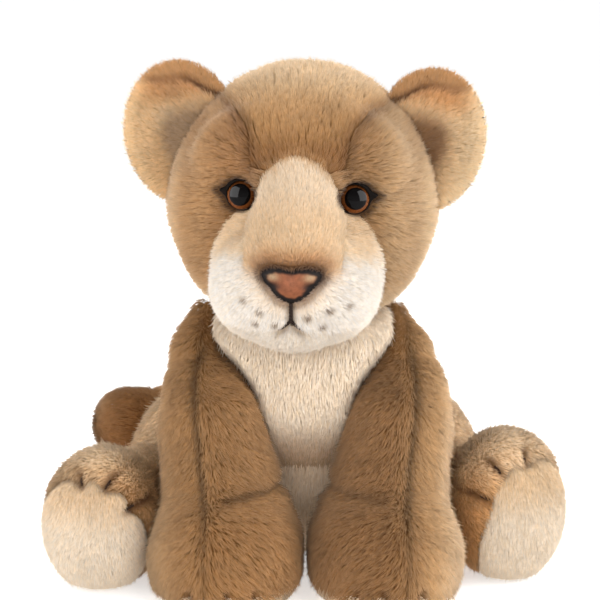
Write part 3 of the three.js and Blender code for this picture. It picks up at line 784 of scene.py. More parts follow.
EYES = []
for side in (-1, 1):
    axis = np.array([side * 0.2, -0.97, 0.1])
    axis /= np.linalg.norm(axis)
    at = np.array([side * EYE_X, float(face_y(side * EYE_X, EYE_Z)), EYE_Z])
    EYES.append((side, axis, at - axis * 1.4))


def eye_distance(p):
    d = np.full(len(p), 1e9)
    for _, axis, seat in EYES:
        v = p - seat
        along = v @ axis
        r = np.linalg.norm(v - along[:, None] * axis, axis=1)
        d = np.minimum(d, np.where((along > -10) & (p[:, 1] < -20), r, 1e9))
    return d


def head_lines(p):
    x, y, z = p.T
    b, m, c = outline(x, z, BRIDGE), outline(x, z, MUZZLE), outline(x, z, CROWN)
    far = 60.0
    return {
        "b": b,
        "m": m,
        "c": c,
        "bridge": np.where(y < -30, np.abs(b), far),
        "top": ss(4, 16, z) * (y < -30),
        "muzzle": np.where((y < -22) & (b > -0.5), np.abs(m), far),
        "crown": np.where((y < 25) & (b > -0.5) & (z > 11), np.abs(c), far),
        "back": np.abs(y - 24),
        "mouth": np.where((y < -45) & (z < -42), np.abs(x) + 0.4 * np.maximum(-50 - z, 0), far),
    }


def head_fields(p):
    x, y, z = p.T
    L = head_lines(p)
    bridge = np.minimum(-L["b"], -34 - y)
    muzzle = np.minimum(-L["m"], -28 - y)
    crown, back = -L["c"], y - 24
    eye = eye_distance(p) - 7.2
    neck = np.linalg.norm(p - NECK_IN_HEAD, axis=1) - 29.4
    low = lambda *f: np.minimum.reduce(f)
    out = {
        "nose_bridge_panel": low(bridge, eye),
        "chin_panel": low(muzzle, -bridge, -53 - z, neck),
        "crown_gusset": low(crown, -bridge, -muzzle, -back, eye),
        "head_back_panel": low(back, neck),
    }
    for s, tag in ((-1, "left"), (1, "right")):
        out["muzzle_" + tag] = low(muzzle, -bridge, s * x, z + 53, eye)
        out["face_side_" + tag] = low(-crown, -bridge, -muzzle, -back, s * x, eye, neck)
    return out


def head_surface(nu, nv):
    V, F = star(head_rule, (0, -22, -12), (0, 0, 1), 1, nu, nv)
    N = slope(head_rule, V)
    L = head_lines(V)
    depth = (
        1.4 * bell(L["bridge"], 2.4) * (np.where(V[:, 0] < 0, 0.75, 0.35) + np.where(V[:, 0] < 0, 0.25, 0.65) * ss(-12, 2, V[:, 2])) * ss(-34, -22, V[:, 2]) * ss(26, 14, V[:, 2])
        + 0.7 * bell(L["muzzle"], 2.8)
        + 1.0 * bell(L["crown"], 3.6)
        + 0.8 * bell(L["back"], 3.0)
        + 1.6 * bell(L["mouth"], 2.2)
        + 0.9 * bell(np.minimum(eye_distance(V), 40), 9.5)
        + 0.35 * noise(V, 17.0, 5)
    )
    return V - N * np.minimum(depth, 2.9)[:, None], N, F


def nose_distance(p):
    return np.where(p[:, 1] < -60, outline(p[:, 0], p[:, 2], NOSE), 60.0)


def mouth_distance(p):
    d = np.full(len(p), 60.0)
    flat = np.stack([p[:, 0], p[:, 2]], 1)
    for line in MOUTH:
        pts = np.array(line, float)
        for a, b in zip(pts[:-1], pts[1:]):
            ab = b - a
            t = np.clip(((flat - a) @ ab) / (ab @ ab), 0, 1)
            d = np.minimum(d, np.linalg.norm(flat - a - t[:, None] * ab, axis=1))
    return np.where(p[:, 1] < -55, d, 60.0)


def patch_distance(p):
    return np.where(p[:, 1] < -20, outline(np.abs(p[:, 0]), p[:, 2], EYE_PATCH), 60.0)


def head_style(panel):
    def style(p, n):
        x, y, z = p.T
        s, ax = np.where(x < 0, -1.0, 1.0), np.abs(x)
        L = head_lines(p)
        zero = np.zeros(len(p))
        over = np.stack([zero, z - 2, -(y - 8)], 1)  # up the brow, back over the crown, down the nape
        over = unit(over)
        if panel in ("crown_gusset", "head_back_panel"):
            st = blank(p, (184, 144, 100), 5.8, 0.82, width=0.2, root=0.84, tuft=0.42, tuft_size=3.4, vary=1.1)
            st["nap"] = over + np.stack([0.010 * x, zero, zero], 1)
            if panel == "crown_gusset":
                # Darker at the brow and paler up the crown: partly the fabric's own colour, partly painted light from
                # above.
                col = mix((144, 101, 58), (173, 131, 84), ss(20, 36, z))
                col = mix(col, (207, 177, 140), ss(36, 58, z))
                st["col"] = col
                st["length"] = 5.0 + 0.8 * ss(22, 44, z)
            else:
                # Paler higher up: partly the fabric's own colour, partly painted light from above.
                st["col"] = mix((184, 144, 102), (204, 170, 132), ss(20, 55, z))
        elif panel.startswith("face_side"):
            st = blank(p, (178, 136, 93), 6.0, 0.82, width=0.2, root=0.84, tuft=0.42, tuft_size=3.4, vary=1.1)
            st["lean"] = st["lean"] - 0.26 * ss(0.5, 0.9, np.abs(n[:, 0]))
            lift = np.clip((z - 2) / 40, -0.75, 0.9)
            st["nap"] = np.stack([0.62 * s, 0.75 + zero, 0.55 * lift], 1)
            right_light_side = np.where(s > 0, 1.0, 0.0)
            # The right side is painted paler at its outer part than the left, painted light from the right; both are
            # paler at the outer rim, painted rim light.
            col = mix((161, 118, 76), (168, 128, 85), ss(28, 46, ax))
            col = mix(col, (182, 144, 104), right_light_side * ss(30, 46, ax))
            col = mix(col, (198, 162, 122), ss(50, 60, ax) * ss(30, -10, y))
            col = mix(col, (190, 152, 110), ss(30, 46, z) * ss(26, 44, ax))
            col = mix(col, (208, 176, 138), ss(-34, -58, z))
            col = col * (1 - right_light_side[:, None] * np.array([0.06, 0.035, 0.02]))
            # Paler where the side turns across the view: painted rim light.
            st["col"] = mix(col, (222, 194, 160), 0.5 * ss(-0.42, -0.02, n[:, 1]) * ss(0.7, 0.25, n[:, 1]) * ss(30, 8, z))
        elif panel == "nose_bridge_panel":
            st = blank(p, (228, 196, 158), 4.8, 0.80, width=0.21, root=0.96, tuft=0.12, tuft_size=2.3, vary=0.4)
            low = ss(-25.5, -30.5, z)  # beside and under the nose it is as white as the muzzle
            st["nap"] = mix(np.stack([0.018 * x, zero, 1 + zero], 1), np.stack([0.05 * x, 0.25 + zero, -0.6 + zero], 1), low)
            st["length"] = 4.6 + 0.8 * ss(2, 18, z)
            col = mix((222, 190, 152), (226, 202, 173), ss(-10, 10, z))
            col = mix((222, 180, 134), col, np.maximum(ss(-26, -12, z), ss(7, 15, ax)))
            # the pale pile thins out into the brown of the brow, with no hard edge
            fade = ss(-4.5, 0.5, L["b"] + 2.2 * noise(p, 2.2, 71)) * L["top"]
            col = mix(col, (196, 152, 106), 0.75 * fade)
            st["col"] = mix(col, (226, 216, 204), low)
        elif panel.startswith("muzzle"):
            st = blank(p, (240, 232, 222), 4.8, 0.82, width=0.2, root=0.96, tuft=0.14, tuft_size=2.4, vary=0.35)
            st["nap"] = np.stack([0.03 * x, 0.25 + zero, 0.02 * (z + 34) - 0.45], 1)
            white = ss(4.0, -4.0, z + 19.5 + 0.36 * np.maximum(ax - 17, 0) + 1.6 * noise(p, 5.0, 75))
            # Paler along the outer edge of the peach part, more on the right: painted light from the right.
            rim = ss(30, 39, ax) * ss(-6, -14, z)
            col = mix((222, 192, 156), (226, 217, 206), white)
            st["col"] = mix(col, (228, 211, 190), rim * (1 - white) * (0.4 + 0.6 * (s > 0))) * (1 - 0.025 * (s > 0))[:, None]
        else:
            st = blank(p, (218, 206, 191), 4.8, 0.82, width=0.18, root=0.96, tuft=0.14, tuft_size=2.6, vary=0.35)
            st["nap"] = np.stack([0.02 * x, 0.8 + zero, -0.6 + zero], 1)
        # seams lie deep with painted shade along them, the eyes and the nose are trimmed free
        near = np.minimum.reduce([np.where(z > -25, L["bridge"], 60), L["muzzle"] * 2, L["crown"]])
        deep = bell(near, 1.7)
        if panel.startswith("face_side") or panel == "crown_gusset":
            fade = bell(np.maximum(L["b"], 0), 2.6) * L["top"] * (0.5 + 0.5 * noise(p, 2.2, 73))
            st["col"] = mix(st["col"], (226, 190, 148), 0.5 * np.clip(fade, 0, 1))
            # Darker along the crown seams: painted shade.
            crown_seam_shade = bell(L["crown"], 3.2) * ss(8, 26, ax)
            st["col"] = st["col"] * (1 - np.array([0.20, 0.23, 0.26]) * crown_seam_shade[:, None])
            st["length"] = st["length"] * (1 + 0.10 * bell(L["crown"], 3.0))
        else:
            st["col"] = st["col"] * (1 - 0.05 * deep)[:, None]
            st["length"] = st["length"] * (1 - 0.18 * deep)
        patch = patch_distance(p)
        eye = eye_distance(p)
        st["keep"] = np.where((patch < 0.2) | (eye < 7.6), 0, st["keep"])
        st["length"] = st["length"] * (0.55 + 0.45 * ss(0.5, 7, np.minimum(patch, eye - 6.5)))
        lid = np.maximum(patch, 0)
        st["col"] = mix(st["col"], (52, 34, 22), 0.8 * bell(lid, 1.1))
        if panel.startswith("face_side"):
            st["col"] = st["col"] * (1 - 0.18 * bell(lid, 3.4))[:, None]
        nose = nose_distance(p)
        st["keep"] = np.where(nose < 0.2, 0, st["keep"])
        st["length"] = st["length"] * (0.5 + 0.35 * ss(-29, -25, z) + (0.5 - 0.35 * ss(-29, -25, z)) * ss(0, 9, nose))
        rim = bell(np.maximum(nose, 0), 1.5)
        inward = unit(np.stack([-x, zero - 0.15, -(z + 32)], 1))
        st["nap"] = mix(unit(st["nap"] + 1e-6), inward, rim)
        st["length"] = st["length"] * (1 - rim) + 2.7 * rim
        edge = bell(np.maximum(nose, 0), 2.0)
        st["col"] = mix(st["col"], mix((84, 54, 34), (34, 20, 13), ss(-36, -28, z)), (0.68 + 0.24 * ss(-36, -28, z)) * edge)
        fringe = bell(np.maximum(nose, 0), 5.6) * ss(-34, -24, z)
        st["col"] = mix(st["col"], (150, 98, 58), 0.7 * fringe * (1 - 0.85 * edge))
        under = bell(np.maximum(nose, 0), 5.5) * ss(-28, -33, z)
        st["col"] = mix(st["col"], (226, 190, 150), 0.35 * under * (1 - edge))
        mouth = mouth_distance(p)
        st["keep"] = np.where(mouth < 0.9, 0, st["keep"])
        st["length"] = st["length"] * (0.55 + 0.45 * ss(0.5, 4.5, mouth))
        st["col"] = mix(st["col"], (120, 100, 84), 0.7 * bell(mouth, 1.8) * ss(9, 3, ax))
        if panel.startswith("muzzle") or panel in ("chin_panel", "nose_bridge_panel"):
            for k, (sx, sz) in enumerate(SPOTS):
                d = np.hypot((x - sx) * 0.8, z - sz - 0.25 * (x - sx) * np.sign(sx))
                st["col"] = mix(st["col"], (92, 70, 52), (0.95 if k < 3 else 0.62) * bell(d, 1.2) * (y < -40))
        world = p @ HEAD_R.T + HEAD_C
        if world[:, 2].min() < 150:
            gap = np.minimum.reduce(
                [np.maximum(torso_rule(world), 2.5), foreleg_rule(world, -1), foreleg_rule(world, 1)]
            )
            crowd(st, gap)
        return st

    return style


def build_head():
    V, N, F = head_surface(240, 156)
    fields = head_fields(V)
    plan = {
        "crown_gusset": ("plush_tan", 3.8),
        "nose_bridge_panel": ("plush_cream", 6.2),
        "face_side_left": ("plush_tan", 2.9),
        "face_side_right": ("plush_tan", 2.95),
        "muzzle_left": ("plush_white", 5.6),
        "muzzle_right": ("plush_white", 5.6),
        "chin_panel": ("plush_white", 4.6),
        "head_back_panel": ("plush_tan", 2.0),
    }
    for node, (slot, density) in plan.items():
        plush(node + "_plush", [node], "head", (V, N, F), fields[node], head_style(node), density, slot, head_place, head_spin)


# ---------------------------------------------------------------- eyes, nose, mouth
def rings_faces(rings, n, closed_start, closed_end):
    """Faces of a skin over rings of n points; the first or last ring may be one point."""
    F, start = [], []
    at = 0
    for size in rings:
        start.append(at)
        at += size
    j = np.arange(n)
    k = (j + 1) % n
    for a, b, sa, sb in zip(rings[:-1], rings[1:], start[:-1], start[1:]):
        if a == 1:
            F.append(np.stack([0 * j + sa, sb + j, sb + k], 1))
        elif b == 1:
            F.append(np.stack([sa + j, 0 * j + sb, sa + k], 1))
        else:
            F.append(np.stack([sa + j, sb + j, sb + k], 1))
            F.append(np.stack([sa + j, sb + k, sa + k], 1))
    return np.concatenate(F)


def lathe(profile, n, at, axis):
    axis = np.array(axis, float)
    h = np.array([0, 0, 1.0])
    u = unit(np.cross(h, axis))
    v = np.cross(axis, u)
    ph = np.linspace(0, 2 * np.pi, n, endpoint=False)
    pts, rings, rad, ang = [], [], [], []
    for r, hgt in profile:
        if r < 1e-6:
            pts.append((at + axis * hgt)[None])
            rings.append(1)
            rad.append([0.0])
            ang.append([0.0])
        else:
            pts.append(at + axis * hgt + r * (np.cos(ph)[:, None] * u + np.sin(ph)[:, None] * v))
            rings.append(n)
            rad.append(np.full(n, r))
            ang.append(ph)
    V = np.concatenate(pts)
    F = outward(V - V.mean(0), rings_faces(rings, n, True, True))
    return V, F, np.concatenate(rad), np.concatenate(ang)


def plain_uv(V, F):
    """A simple chart: every face keeps its place seen from its own widest side."""
    n = mesh_normals(V, F)
    lo, hi = V.min(0), V.max(0)
    q = (V - lo) / max((hi - lo).max(), 1e-9)
    face_n = np.abs(np.cross(V[F[:, 1]] - V[F[:, 0]], V[F[:, 2]] - V[F[:, 0]]))
    face_s = np.cross(V[F[:, 1]] - V[F[:, 0]], V[F[:, 2]] - V[F[:, 0]])
    k = face_n.argmax(1)
    sign = np.take_along_axis(face_s, k[:, None], 1)[:, 0] > 0
    uv = np.zeros((len(F), 3, 2))
    for axis in range(3):
        for up in (False, True):
            i = np.where((k == axis) & (sign == up))[0]
            if len(i):
                a, b = [c for c in range(3) if c != axis]
                t = np.stack([q[F[i]][:, :, a], q[F[i]][:, :, b]], -1)
                uv[i] = (t * 0.94 + 0.03) * np.array([1 / 3, 1 / 2]) + np.array([axis / 3, 0.5 * up])
    return uv.reshape(-1, 2)


def build_eyes():
    gloss, tree, b = painted("eye_gloss", "pile", 0.05, 0.05, 900.0, Specular_IOR_Level=0.08)
    felt, tree, b = painted("eyelid_felt", "pile", 0.95, 0.25, 1500.0, Specular_IOR_Level=0.04)
    for side, axis, seat in EYES:
        tag = "left" if side < 0 else "right"
        prof = [(0, -EYE_DEPTH), (EYE_SHANK * 0.8, -EYE_DEPTH), (EYE_SHANK, -EYE_DEPTH + 0.6)]
        prof += [(EYE_SHANK, -h) for h in (13.0, 11.0, 9.0, 7.0, 5.0, 3.0, 1.0)]
        prof += [(EYE_SHANK, 0.05), (4.0, 0.1), (6.4, 0.1), (EYE_RADIUS, 0.4), (EYE_RADIUS, 1.0)]
        for r in np.concatenate([np.linspace(6.97, 6.0, 9), np.linspace(5.9, 5.2, 8), np.linspace(5.0, 0.35, 14)]):
            prof.append((r, 1.0 + (EYE_HEIGHT - 1.0) * math.sqrt(max(0, 1 - (r / EYE_RADIUS) ** 2))))
        prof.append((0, EYE_HEIGHT))
        V, F, rad, ang = lathe(prof, 72, seat, axis)
        h = (V - seat) @ axis
        streak = 0.5 + 0.5 * noise(np.stack([np.cos(ang) * 9, np.sin(ang) * 9, rad * 0.5], 1), 0.8, 3)
        iris = mix((62, 31, 13), (122, 68, 30), np.clip(0.2 + 0.8 * streak, 0, 1))
        iris = mix(iris, (58, 30, 14), ss(6.45, 6.95, rad))
        col = mix((7, 5, 5), iris, ss(5.05, 5.45, rad))
        col = np.where((h < 0.9)[:, None], np.array([16.0, 11, 9]), col)
        make(f"eye_{tag}_dome", head_place(V), F, head_spin(mesh_normals(V, F)), linear(col), plain_uv(V, F), gloss, "head", [f"eye_{tag}"])

        # the dark lid around the eye follows the face and ends in a corner at the outside
        n, rows = 96, 9
        ph = np.linspace(0, 2 * np.pi, n, endpoint=False)
        loop = EYE_PATCH - np.array([EYE_X, EYE_Z])
        reach = np.empty(n)
        for i, a in enumerate(ph):
            d = np.array([math.cos(a), math.sin(a)])
            t = np.linspace(4, 15, 260)
            inside = outline(d[0] * t, d[1] * t, loop) < 0
            reach[i] = t[np.where(inside)[0].max()] if inside.any() else 7.6
        reach = np.maximum(reach, 7.5)
        top, under = [], []
        for r in range(rows):
            f = r / (rows - 1)
            rr = 6.85 + (reach - 6.85) * f
            lx, lz = EYE_X + rr * np.cos(ph), EYE_Z + rr * np.sin(ph)
            y = face_y(lx, lz, 0.0)
            plane = seat[1] - 1.2
            y = np.clip(y, plane - 1.2, plane + 8)
            lift = 1.5 * math.sqrt(max(0.0, 1 - f * f)) + 0.35
            top.append(np.stack([side * lx, y - lift, lz], 1))
            under.append(np.stack([side * lx, y + 0.9, lz], 1))
        V = np.concatenate(top + under[::-1])
        F = rings_faces([n] * (2 * rows), n, False, False)
        j = np.arange(n)
        k = (j + 1) % n
        last = (2 * rows - 1) * n
        F = np.concatenate([F, np.stack([last + j, j, k], 1), np.stack([last + j, k, last + k], 1)])
        if side < 0:
            F = F[:, ::-1].copy()
        N = mesh_normals(V, F)
        if (N[: n * rows, 1] > 0).mean() > 0.5:
            F, N = F[:, ::-1].copy(), -N
        col = mix((10, 8, 7), (30, 20, 14), np.clip(0.5 + 0.5 * noise(V, 1.2, 9), 0, 1) * 0.6)
        make(f"eye_felt_{tag}_lid", head_place(V), F, head_spin(N), linear(col), plain_uv(V, F), felt, "head", [f"eye_felt_{tag}"])


def build_nose():
    suede, tree, b = painted("nose_suede_print", "pile", 0.8, 0.12, 1400.0, Specular_IOR_Level=0.12)
    grain = add(tree, "ShaderNodeTexNoise", in_Scale=2600.0, in_Detail=2.0)
    bump = add(tree, "ShaderNodeBump", in_Strength=0.25, in_Distance=0.0002)
    pos = add(tree, "ShaderNodeTexCoord")
    tree.links.new(pos.outputs["Object"], grain.inputs["Vector"])
    tree.links.new(grain.outputs["Fac"], bump.inputs["Height"])
    tree.links.new(bump.outputs["Normal"], b.inputs["Normal"])
    mid = np.array([0.0, -32.0])
    n, rows = 96, 22
    rim = NOSE - mid
    top, under, share = [], [], []
    for r in range(rows):
        f = r / (rows - 1)
        x, z = mid[0] + rim[:, 0] * f, mid[1] + rim[:, 1] * f
        if r == 0:
            x, z = x[:1], z[:1]
        lift = 0.4 + 2.7 * (1 - f**2.2) ** 0.55
        for sx in (-1, 1):
            lift = lift + 0.6 * bell(np.hypot(x - sx * 8.6, z + 28.6), 3.0) * (1 - f**4)
            lift = lift - 1.4 * bell(np.hypot((x - sx * 8.2) * 0.7, z + 33.2), 1.9) * (1 - f**4)
        lift = lift - 0.5 * bell(x, 1.2) * ss(-36, -27, z) * (1 - f**4)
        y = face_y(x, z, 0.0)
        top.append(np.stack([x, y - lift, z], 1))
        under.append(np.stack([x, y + 1.2, z], 1))
        share.append(np.full(len(x), f))
    V = np.concatenate(top + under[::-1])
    f = np.concatenate(share + share[::-1])
    sizes = [len(t) for t in top] + [len(t) for t in under[::-1]]
    F = outward(V - V.mean(0), rings_faces(sizes, n, True, True))
    x, z = V[:, 0], V[:, 2]
    edge = -outline(x, z, NOSE)
    col = np.tile(np.array([116.0, 67, 43]), (len(V), 1))
    col = mix(col, (136, 86, 63), 0.6 * bell(np.hypot(x, z + 30.5), 4.0))
    col = col * (1 + 0.10 * noise(V, 1.3, 8))[:, None]
    for sx in (-1, 1):
        col = mix(col, (150, 128, 100), 0.9 * bell(np.hypot((x - sx * 8.6) * 0.75, z + 29.0), 2.3))
        col = mix(col, (20, 12, 9), bell(np.hypot((x - sx * 8.8) * 0.62, z + 33.6), 1.9))
    col = mix(col, (118, 70, 42), 0.7 * ss(-36, -39, z))
    col = mix(col, (58, 34, 22), 0.6 * bell(np.hypot(x, (z + 27) * 0.8), 1.4))
    wobble = 0.35 * noise(V, 1.8, 4)
    col = mix((15, 9, 7), col, ss(1.8, 3.2, edge + 1.6 * wobble))
    make("nose_patch_suede", head_place(V), F, head_spin(mesh_normals(V, F)), linear(col), plain_uv(V, F), suede, "head", ["nose_patch"])


def tube(points, radius, n=10):
    """Round thread along the points with rounded ends."""
    P = np.array(points, float)
    R = np.array(radius, float) if np.ndim(radius) else np.full(len(P), float(radius))
    tg = unit(np.gradient(P, axis=0))
    h = np.array([0.3, 0.2, 0.93])
    u = unit(np.cross(tg, h))
    v = np.cross(tg, u)
    ph = np.linspace(0, 2 * np.pi, n, endpoint=False)
    rings, sizes = [(P[0] - tg[0] * R[0])[None]], [1]
    order = [(0, 0.7, -0.7)] + [(i, 1.0, 0.0) for i in range(len(P))] + [(len(P) - 1, 0.7, 0.7)]
    for i, k, s in order:
        rings.append(P[i] + tg[i] * R[i] * s + R[i] * k * (np.cos(ph)[:, None] * u[i] + np.sin(ph)[:, None] * v[i]))
        sizes.append(n)
    rings.append((P[-1] + tg[-1] * R[-1])[None])
    sizes.append(1)
    V = np.concatenate(rings)
    F = rings_faces(sizes, n, True, True)
    return V, F


def resample(points, step):
    P = np.array(points, float)
    s = np.concatenate([[0], np.cumsum(np.linalg.norm(np.diff(P, axis=0), axis=1))])
    t = np.linspace(0, s[-1], max(4, int(s[-1] / step)))
    return np.stack([np.interp(t, s, P[:, k]) for k in range(P.shape[1])], 1)


THREAD, _tree, _b = painted("dark_stitching", "pile", 0.75, 0.2, 2200.0, Specular_IOR_Level=0.1)


def thread_piece(name, parts, nodes, body, colour, place=in_row, spin=None):
    """Twisted thread: each run is laid from two plies wound round each other."""
    Vs, Fs, at = [], [], 0
    for pts, rad in parts:
        P = np.array(pts, float)
        R = np.array(rad, float) if np.ndim(rad) else np.full(len(P), float(rad))
        tg = unit(np.gradient(P, axis=0))
        u = unit(np.cross(tg, np.array([0.31, 0.22, 0.92])))
        v = np.cross(tg, u)
        s = np.concatenate([[0], np.cumsum(np.linalg.norm(np.diff(P, axis=0), axis=1))])
        for ply in (0, 1):
            a = s / 0.55 + ply * np.pi
            Q = P + (R * 0.42)[:, None] * (np.cos(a)[:, None] * u + np.sin(a)[:, None] * v)
            V, F = tube(Q, R * 0.66, 8)
            F = outward(V - V.mean(0), F)
            Vs.append(V)
            Fs.append(F + at)
            at += len(V)
    V, F = np.concatenate(Vs), np.concatenate(Fs)
    if place is in_row:
        V[:, 2] = np.maximum(V[:, 2], FLOOR_PILE)
    N = mesh_normals(V, F)
    col = np.tile(np.array(colour, float), (len(V), 1)) * (1 + 0.25 * noise(V, 0.6, 21))[:, None]
    return make(name, place(V), F, spin(N) if spin else N, linear(col), plain_uv(V, F), THREAD, body, nodes)


def build_mouth():
    parts = []
    for i, line in enumerate(MOUTH):
        P = resample(line, 0.35)
        x, z = P[:, 0], P[:, 1]
        y = face_y(x, z, 0.0) + 0.9
        f = np.linspace(0, 1, len(P))
        rad = 0.95 - 0.1 * f if i == 0 else 0.85 - 0.5 * f
        rise = 2.1 if i == 0 else 2.0 - 0.9 * f
        parts.append((np.stack([x, y - rise, z], 1), rad))
    thread_piece("mouth_stitch_thread", parts, ["mouth_stitch"], "head", (34, 24, 18), head_place, head_spin)


# ---------------------------------------------------------------- ears
EAR_X, EAR_Y, EAR_Z, EAR_W, EAR_H, EAR_CUP = 61.5, 4.0, 28.0, 27.0, 34.0, 10.0


def ear_frame(s):
    return turn("z", s * -12) @ turn("y", s * 9) @ turn("x", -4), np.array([s * EAR_X, EAR_Y, EAR_Z])


def ear_layer(s, wide, mid, half, nu, nv):
    R, c = ear_frame(s)
    g = ball_grid(nu, nv)
    rho = np.hypot(g[:, 0], g[:, 1])
    bowl = EAR_CUP * (1 - rho**2) - 6
    meet = 1 - 0.8 * ss(0.78, 1.0, rho)  # the two layers are sewn together round the edge
    q = np.stack([EAR_W * wide * g[:, 0], bowl + mid * meet - half * g[:, 2], EAR_H * wide * g[:, 1]], 1)
    wave = 0.5 * noise(q, 12.0, 31 + s)
    q[:, 1] += wave
    V = q @ R.T + c
    F = outward(V - V.mean(0), ball_faces(nu, nv))
    return V, mesh_normals(V, F), F


def ear_style(s, lining):
    R, c = ear_frame(s)

    def style(p, n):
        q = (p - c) @ R
        m = n @ R
        k = 0.985 if lining else 1.0
        cx, cz = q[:, 0] / (EAR_W * k) * s, q[:, 2] / (EAR_H * k)  # cx grows away from the head
        rho = np.hypot(cx, cz)
        out = np.stack([cx * s, np.zeros(len(p)), cz], 1) @ R.T
        if lining:
            st = blank(p, (225, 189, 149), 6.2, 0.92, width=0.2, root=0.94, tuft=0.34, tuft_size=3.2, vary=0.6)
            st["nap"] = np.stack([(cx + 0.55) * s, np.zeros(len(p)), (cz + 0.25)], 1) @ R.T
            # The left lining is painted a little darker than the right, with a paler, wider hollow: painted light as it
            # fell on each side.
            ear_side_light = 1.0 if s > 0 else 0.965
            col = mix((238, 193, 140), (246, 207, 158), ss(0.2, 0.8, cx)) if s < 0 else mix((240, 202, 154), (248, 217, 174), ss(0.2, 0.8, cx))
            # A paler patch in the bowl: painted highlight.
            col = mix(col, (250, 218, 174), 0.8 * bell(np.hypot(cx - 0.2, (cz - 0.22) * 1.4), 0.3))
            col = mix(col, (214, 160, 108), ss(0.30, 0.62, cz) * ss(0.9, 0.2, cx)) * ear_side_light
            col = col * (1 + 0.05 * noise(p, 8.0, 77))[:, None]
            # Darker deep in the cup towards the head: painted shade in the hollow.
            hollow_shade = bell(np.hypot(np.maximum(cx - 0.02, 0), (cz + 0.02) / 1.25), 0.27 if s > 0 else 0.32) + 0.7 * bell(np.hypot(np.maximum(cx + 0.1, 0), (cz + 0.34) / 1.3), 0.28)
            col = mix(col, (136, 99, 67) if s > 0 else (161, 133, 104), 0.92 * np.minimum(hollow_shade, 1))
            line = 0.75 + 0.05 * ss(0.1, 0.6, cx) - 0.38 * ss(-0.1, -0.95, cx)  # where the back's edge is folded over
            band = cz - line
            # A dark line under the folded edge: painted shadow beneath the roll.
            fold = bell(band, 0.05) * (0.4 + 0.6 * ss(0.0, -0.5, cx)) * ss(0.7, 0.35, cx)
            rim = ss(0.0, 0.06, band) * ss(0.8, 0.5, cx)
            col = mix(col, (194, 146, 98), rim)
            st["col"] = mix(col, (84, 52, 30), 0.85 * fold)
            st["length"] = st["length"] * (1 - 0.3 * fold) * (1 - 0.3 * ss(0.75, 0.97, rho))
            st["lean"] = st["lean"] + 0.1 * ss(0.8, 0.97, rho)
            st["tuft"] = st["tuft"] * (1 - 0.9 * ss(0.7, 0.92, rho))
            st["keep"] = np.where(m[:, 1] < 0.3, 1.0, 0.0)
        else:
            st = blank(p, (186, 141, 96), 5.4, 0.86, width=0.2, root=0.86, tuft=0.22, tuft_size=2.6, vary=0.8)
            st["nap"] = out + np.array([0, 0, 0.25])
            # Paler round the rim, most on the outer side: painted rim light.
            st["col"] = mix((186, 141, 95), (206, 160, 112), ss(0.75, 1.0, rho))
            st["col"] = mix(st["col"], (246, 214, 172), ss(0.8, 0.97, rho) * ss(0.1, 0.6, cx))
            st["length"] = st["length"] * (1 - 0.3 * ss(0.75, 0.95, rho) - 0.3 * ss(0.7, 0.9, rho) * ss(0.2, 0.6, m[:, 1]))
            st["tuft"] = st["tuft"] * (1 - 0.9 * ss(0.7, 0.92, rho))
            st["keep"] = np.where(m[:, 1] > -0.25, 1.0, 0.0)
        near = head_rule(p)
        st["length"] = np.minimum(st["length"], np.clip(near * 0.9 + 2.5, 2.0, 99))
        return st

    return style


def build_ears():
    nu, nv = 112, 72
    for s, tag in ((-1, "left"), (1, "right")):
        for node, wide, mid, half, slot, lining, density in (
            ("ear_back_" + tag, 1.0, 2.4, 2.2, "plush_tan", False, 4.4),
            ("ear_lining_" + tag, 0.985, -2.1, 2.0, "plush_peach", True, 5.2),
        ):
            V, N, F = ear_layer(s, wide, mid, half, nu, nv)
            plush(node + "_plush", [node], "ear_" + tag, (V, N, F), head_rule(V) - 0.4, ear_style(s, lining), density, slot, head_place, head_spin)


# ---------------------------------------------------------------- torso and neck
def torso_style(panel):
    def style(p, n):
        x, y, z = p.T
        s, ax = np.where(x < 0, -1.0, 1.0), np.abs(x)
        zero = np.zeros(len(p))
        if panel == "chest_panel":
            st = blank(p, (230, 209, 182), 6.0, 1.02, width=0.21, root=0.98, tuft=0.12, tuft_size=2.4, vary=0.28)
            st["nap"] = np.stack([-0.10 * s, zero, -1 + zero], 1)
            # Darker towards the bottom of the bib and along its lower seam: painted shade under the bulge of the chest.
            st["col"] = mix((204, 168, 134), (240, 220, 195), ss(56, 84, z))
            st["col"] = st["col"] * (1 - 0.12 * bell(z - 57, 4.0))[:, None]
        elif panel == "belly_panel":
            st = blank(p, (252, 224, 192), 5.6, 0.85, root=0.9, tuft=0.22, tuft_size=3.0, vary=0.6)
            st["nap"] = np.stack([zero, zero, -1 + zero], 1)
        elif panel == "seat_panel":
            st = blank(p, (172, 131, 90), 5.0, 1.2, root=0.5)
            st["nap"] = np.stack([zero, 1 + zero, zero], 1)
        else:
            st = blank(p, (180, 139, 97), 7.0, 0.9, root=0.8, tuft=0.28, tuft_size=3.2)
            st["nap"] = np.stack([0.25 * s, 0.2 + zero, -1 + zero], 1)
            st["col"] = mix((172, 131, 90), (188, 148, 106), ss(20, 110, z))
            st["col"] = st["col"] * (1 - 0.25 * bell(ax, 1.8))[:, None]
            st["length"] = st["length"] * (1 - 0.25 * bell(ax, 2.0))
        near = np.minimum.reduce(
            [head_world_rule(p), foreleg_rule(p, -1), foreleg_rule(p, 1), hind_rule(p, -1), hind_rule(p, 1), tail_rule(p)]
        )
        crowd(st, near, 3.4)
        flat = (n[:, 2] < -0.6) & (z < 6)
        st["keep"] = np.where(flat, 0.4, st["keep"])
        st["lean"] = np.where(flat, 1.4, st["lean"])
        return st

    return style


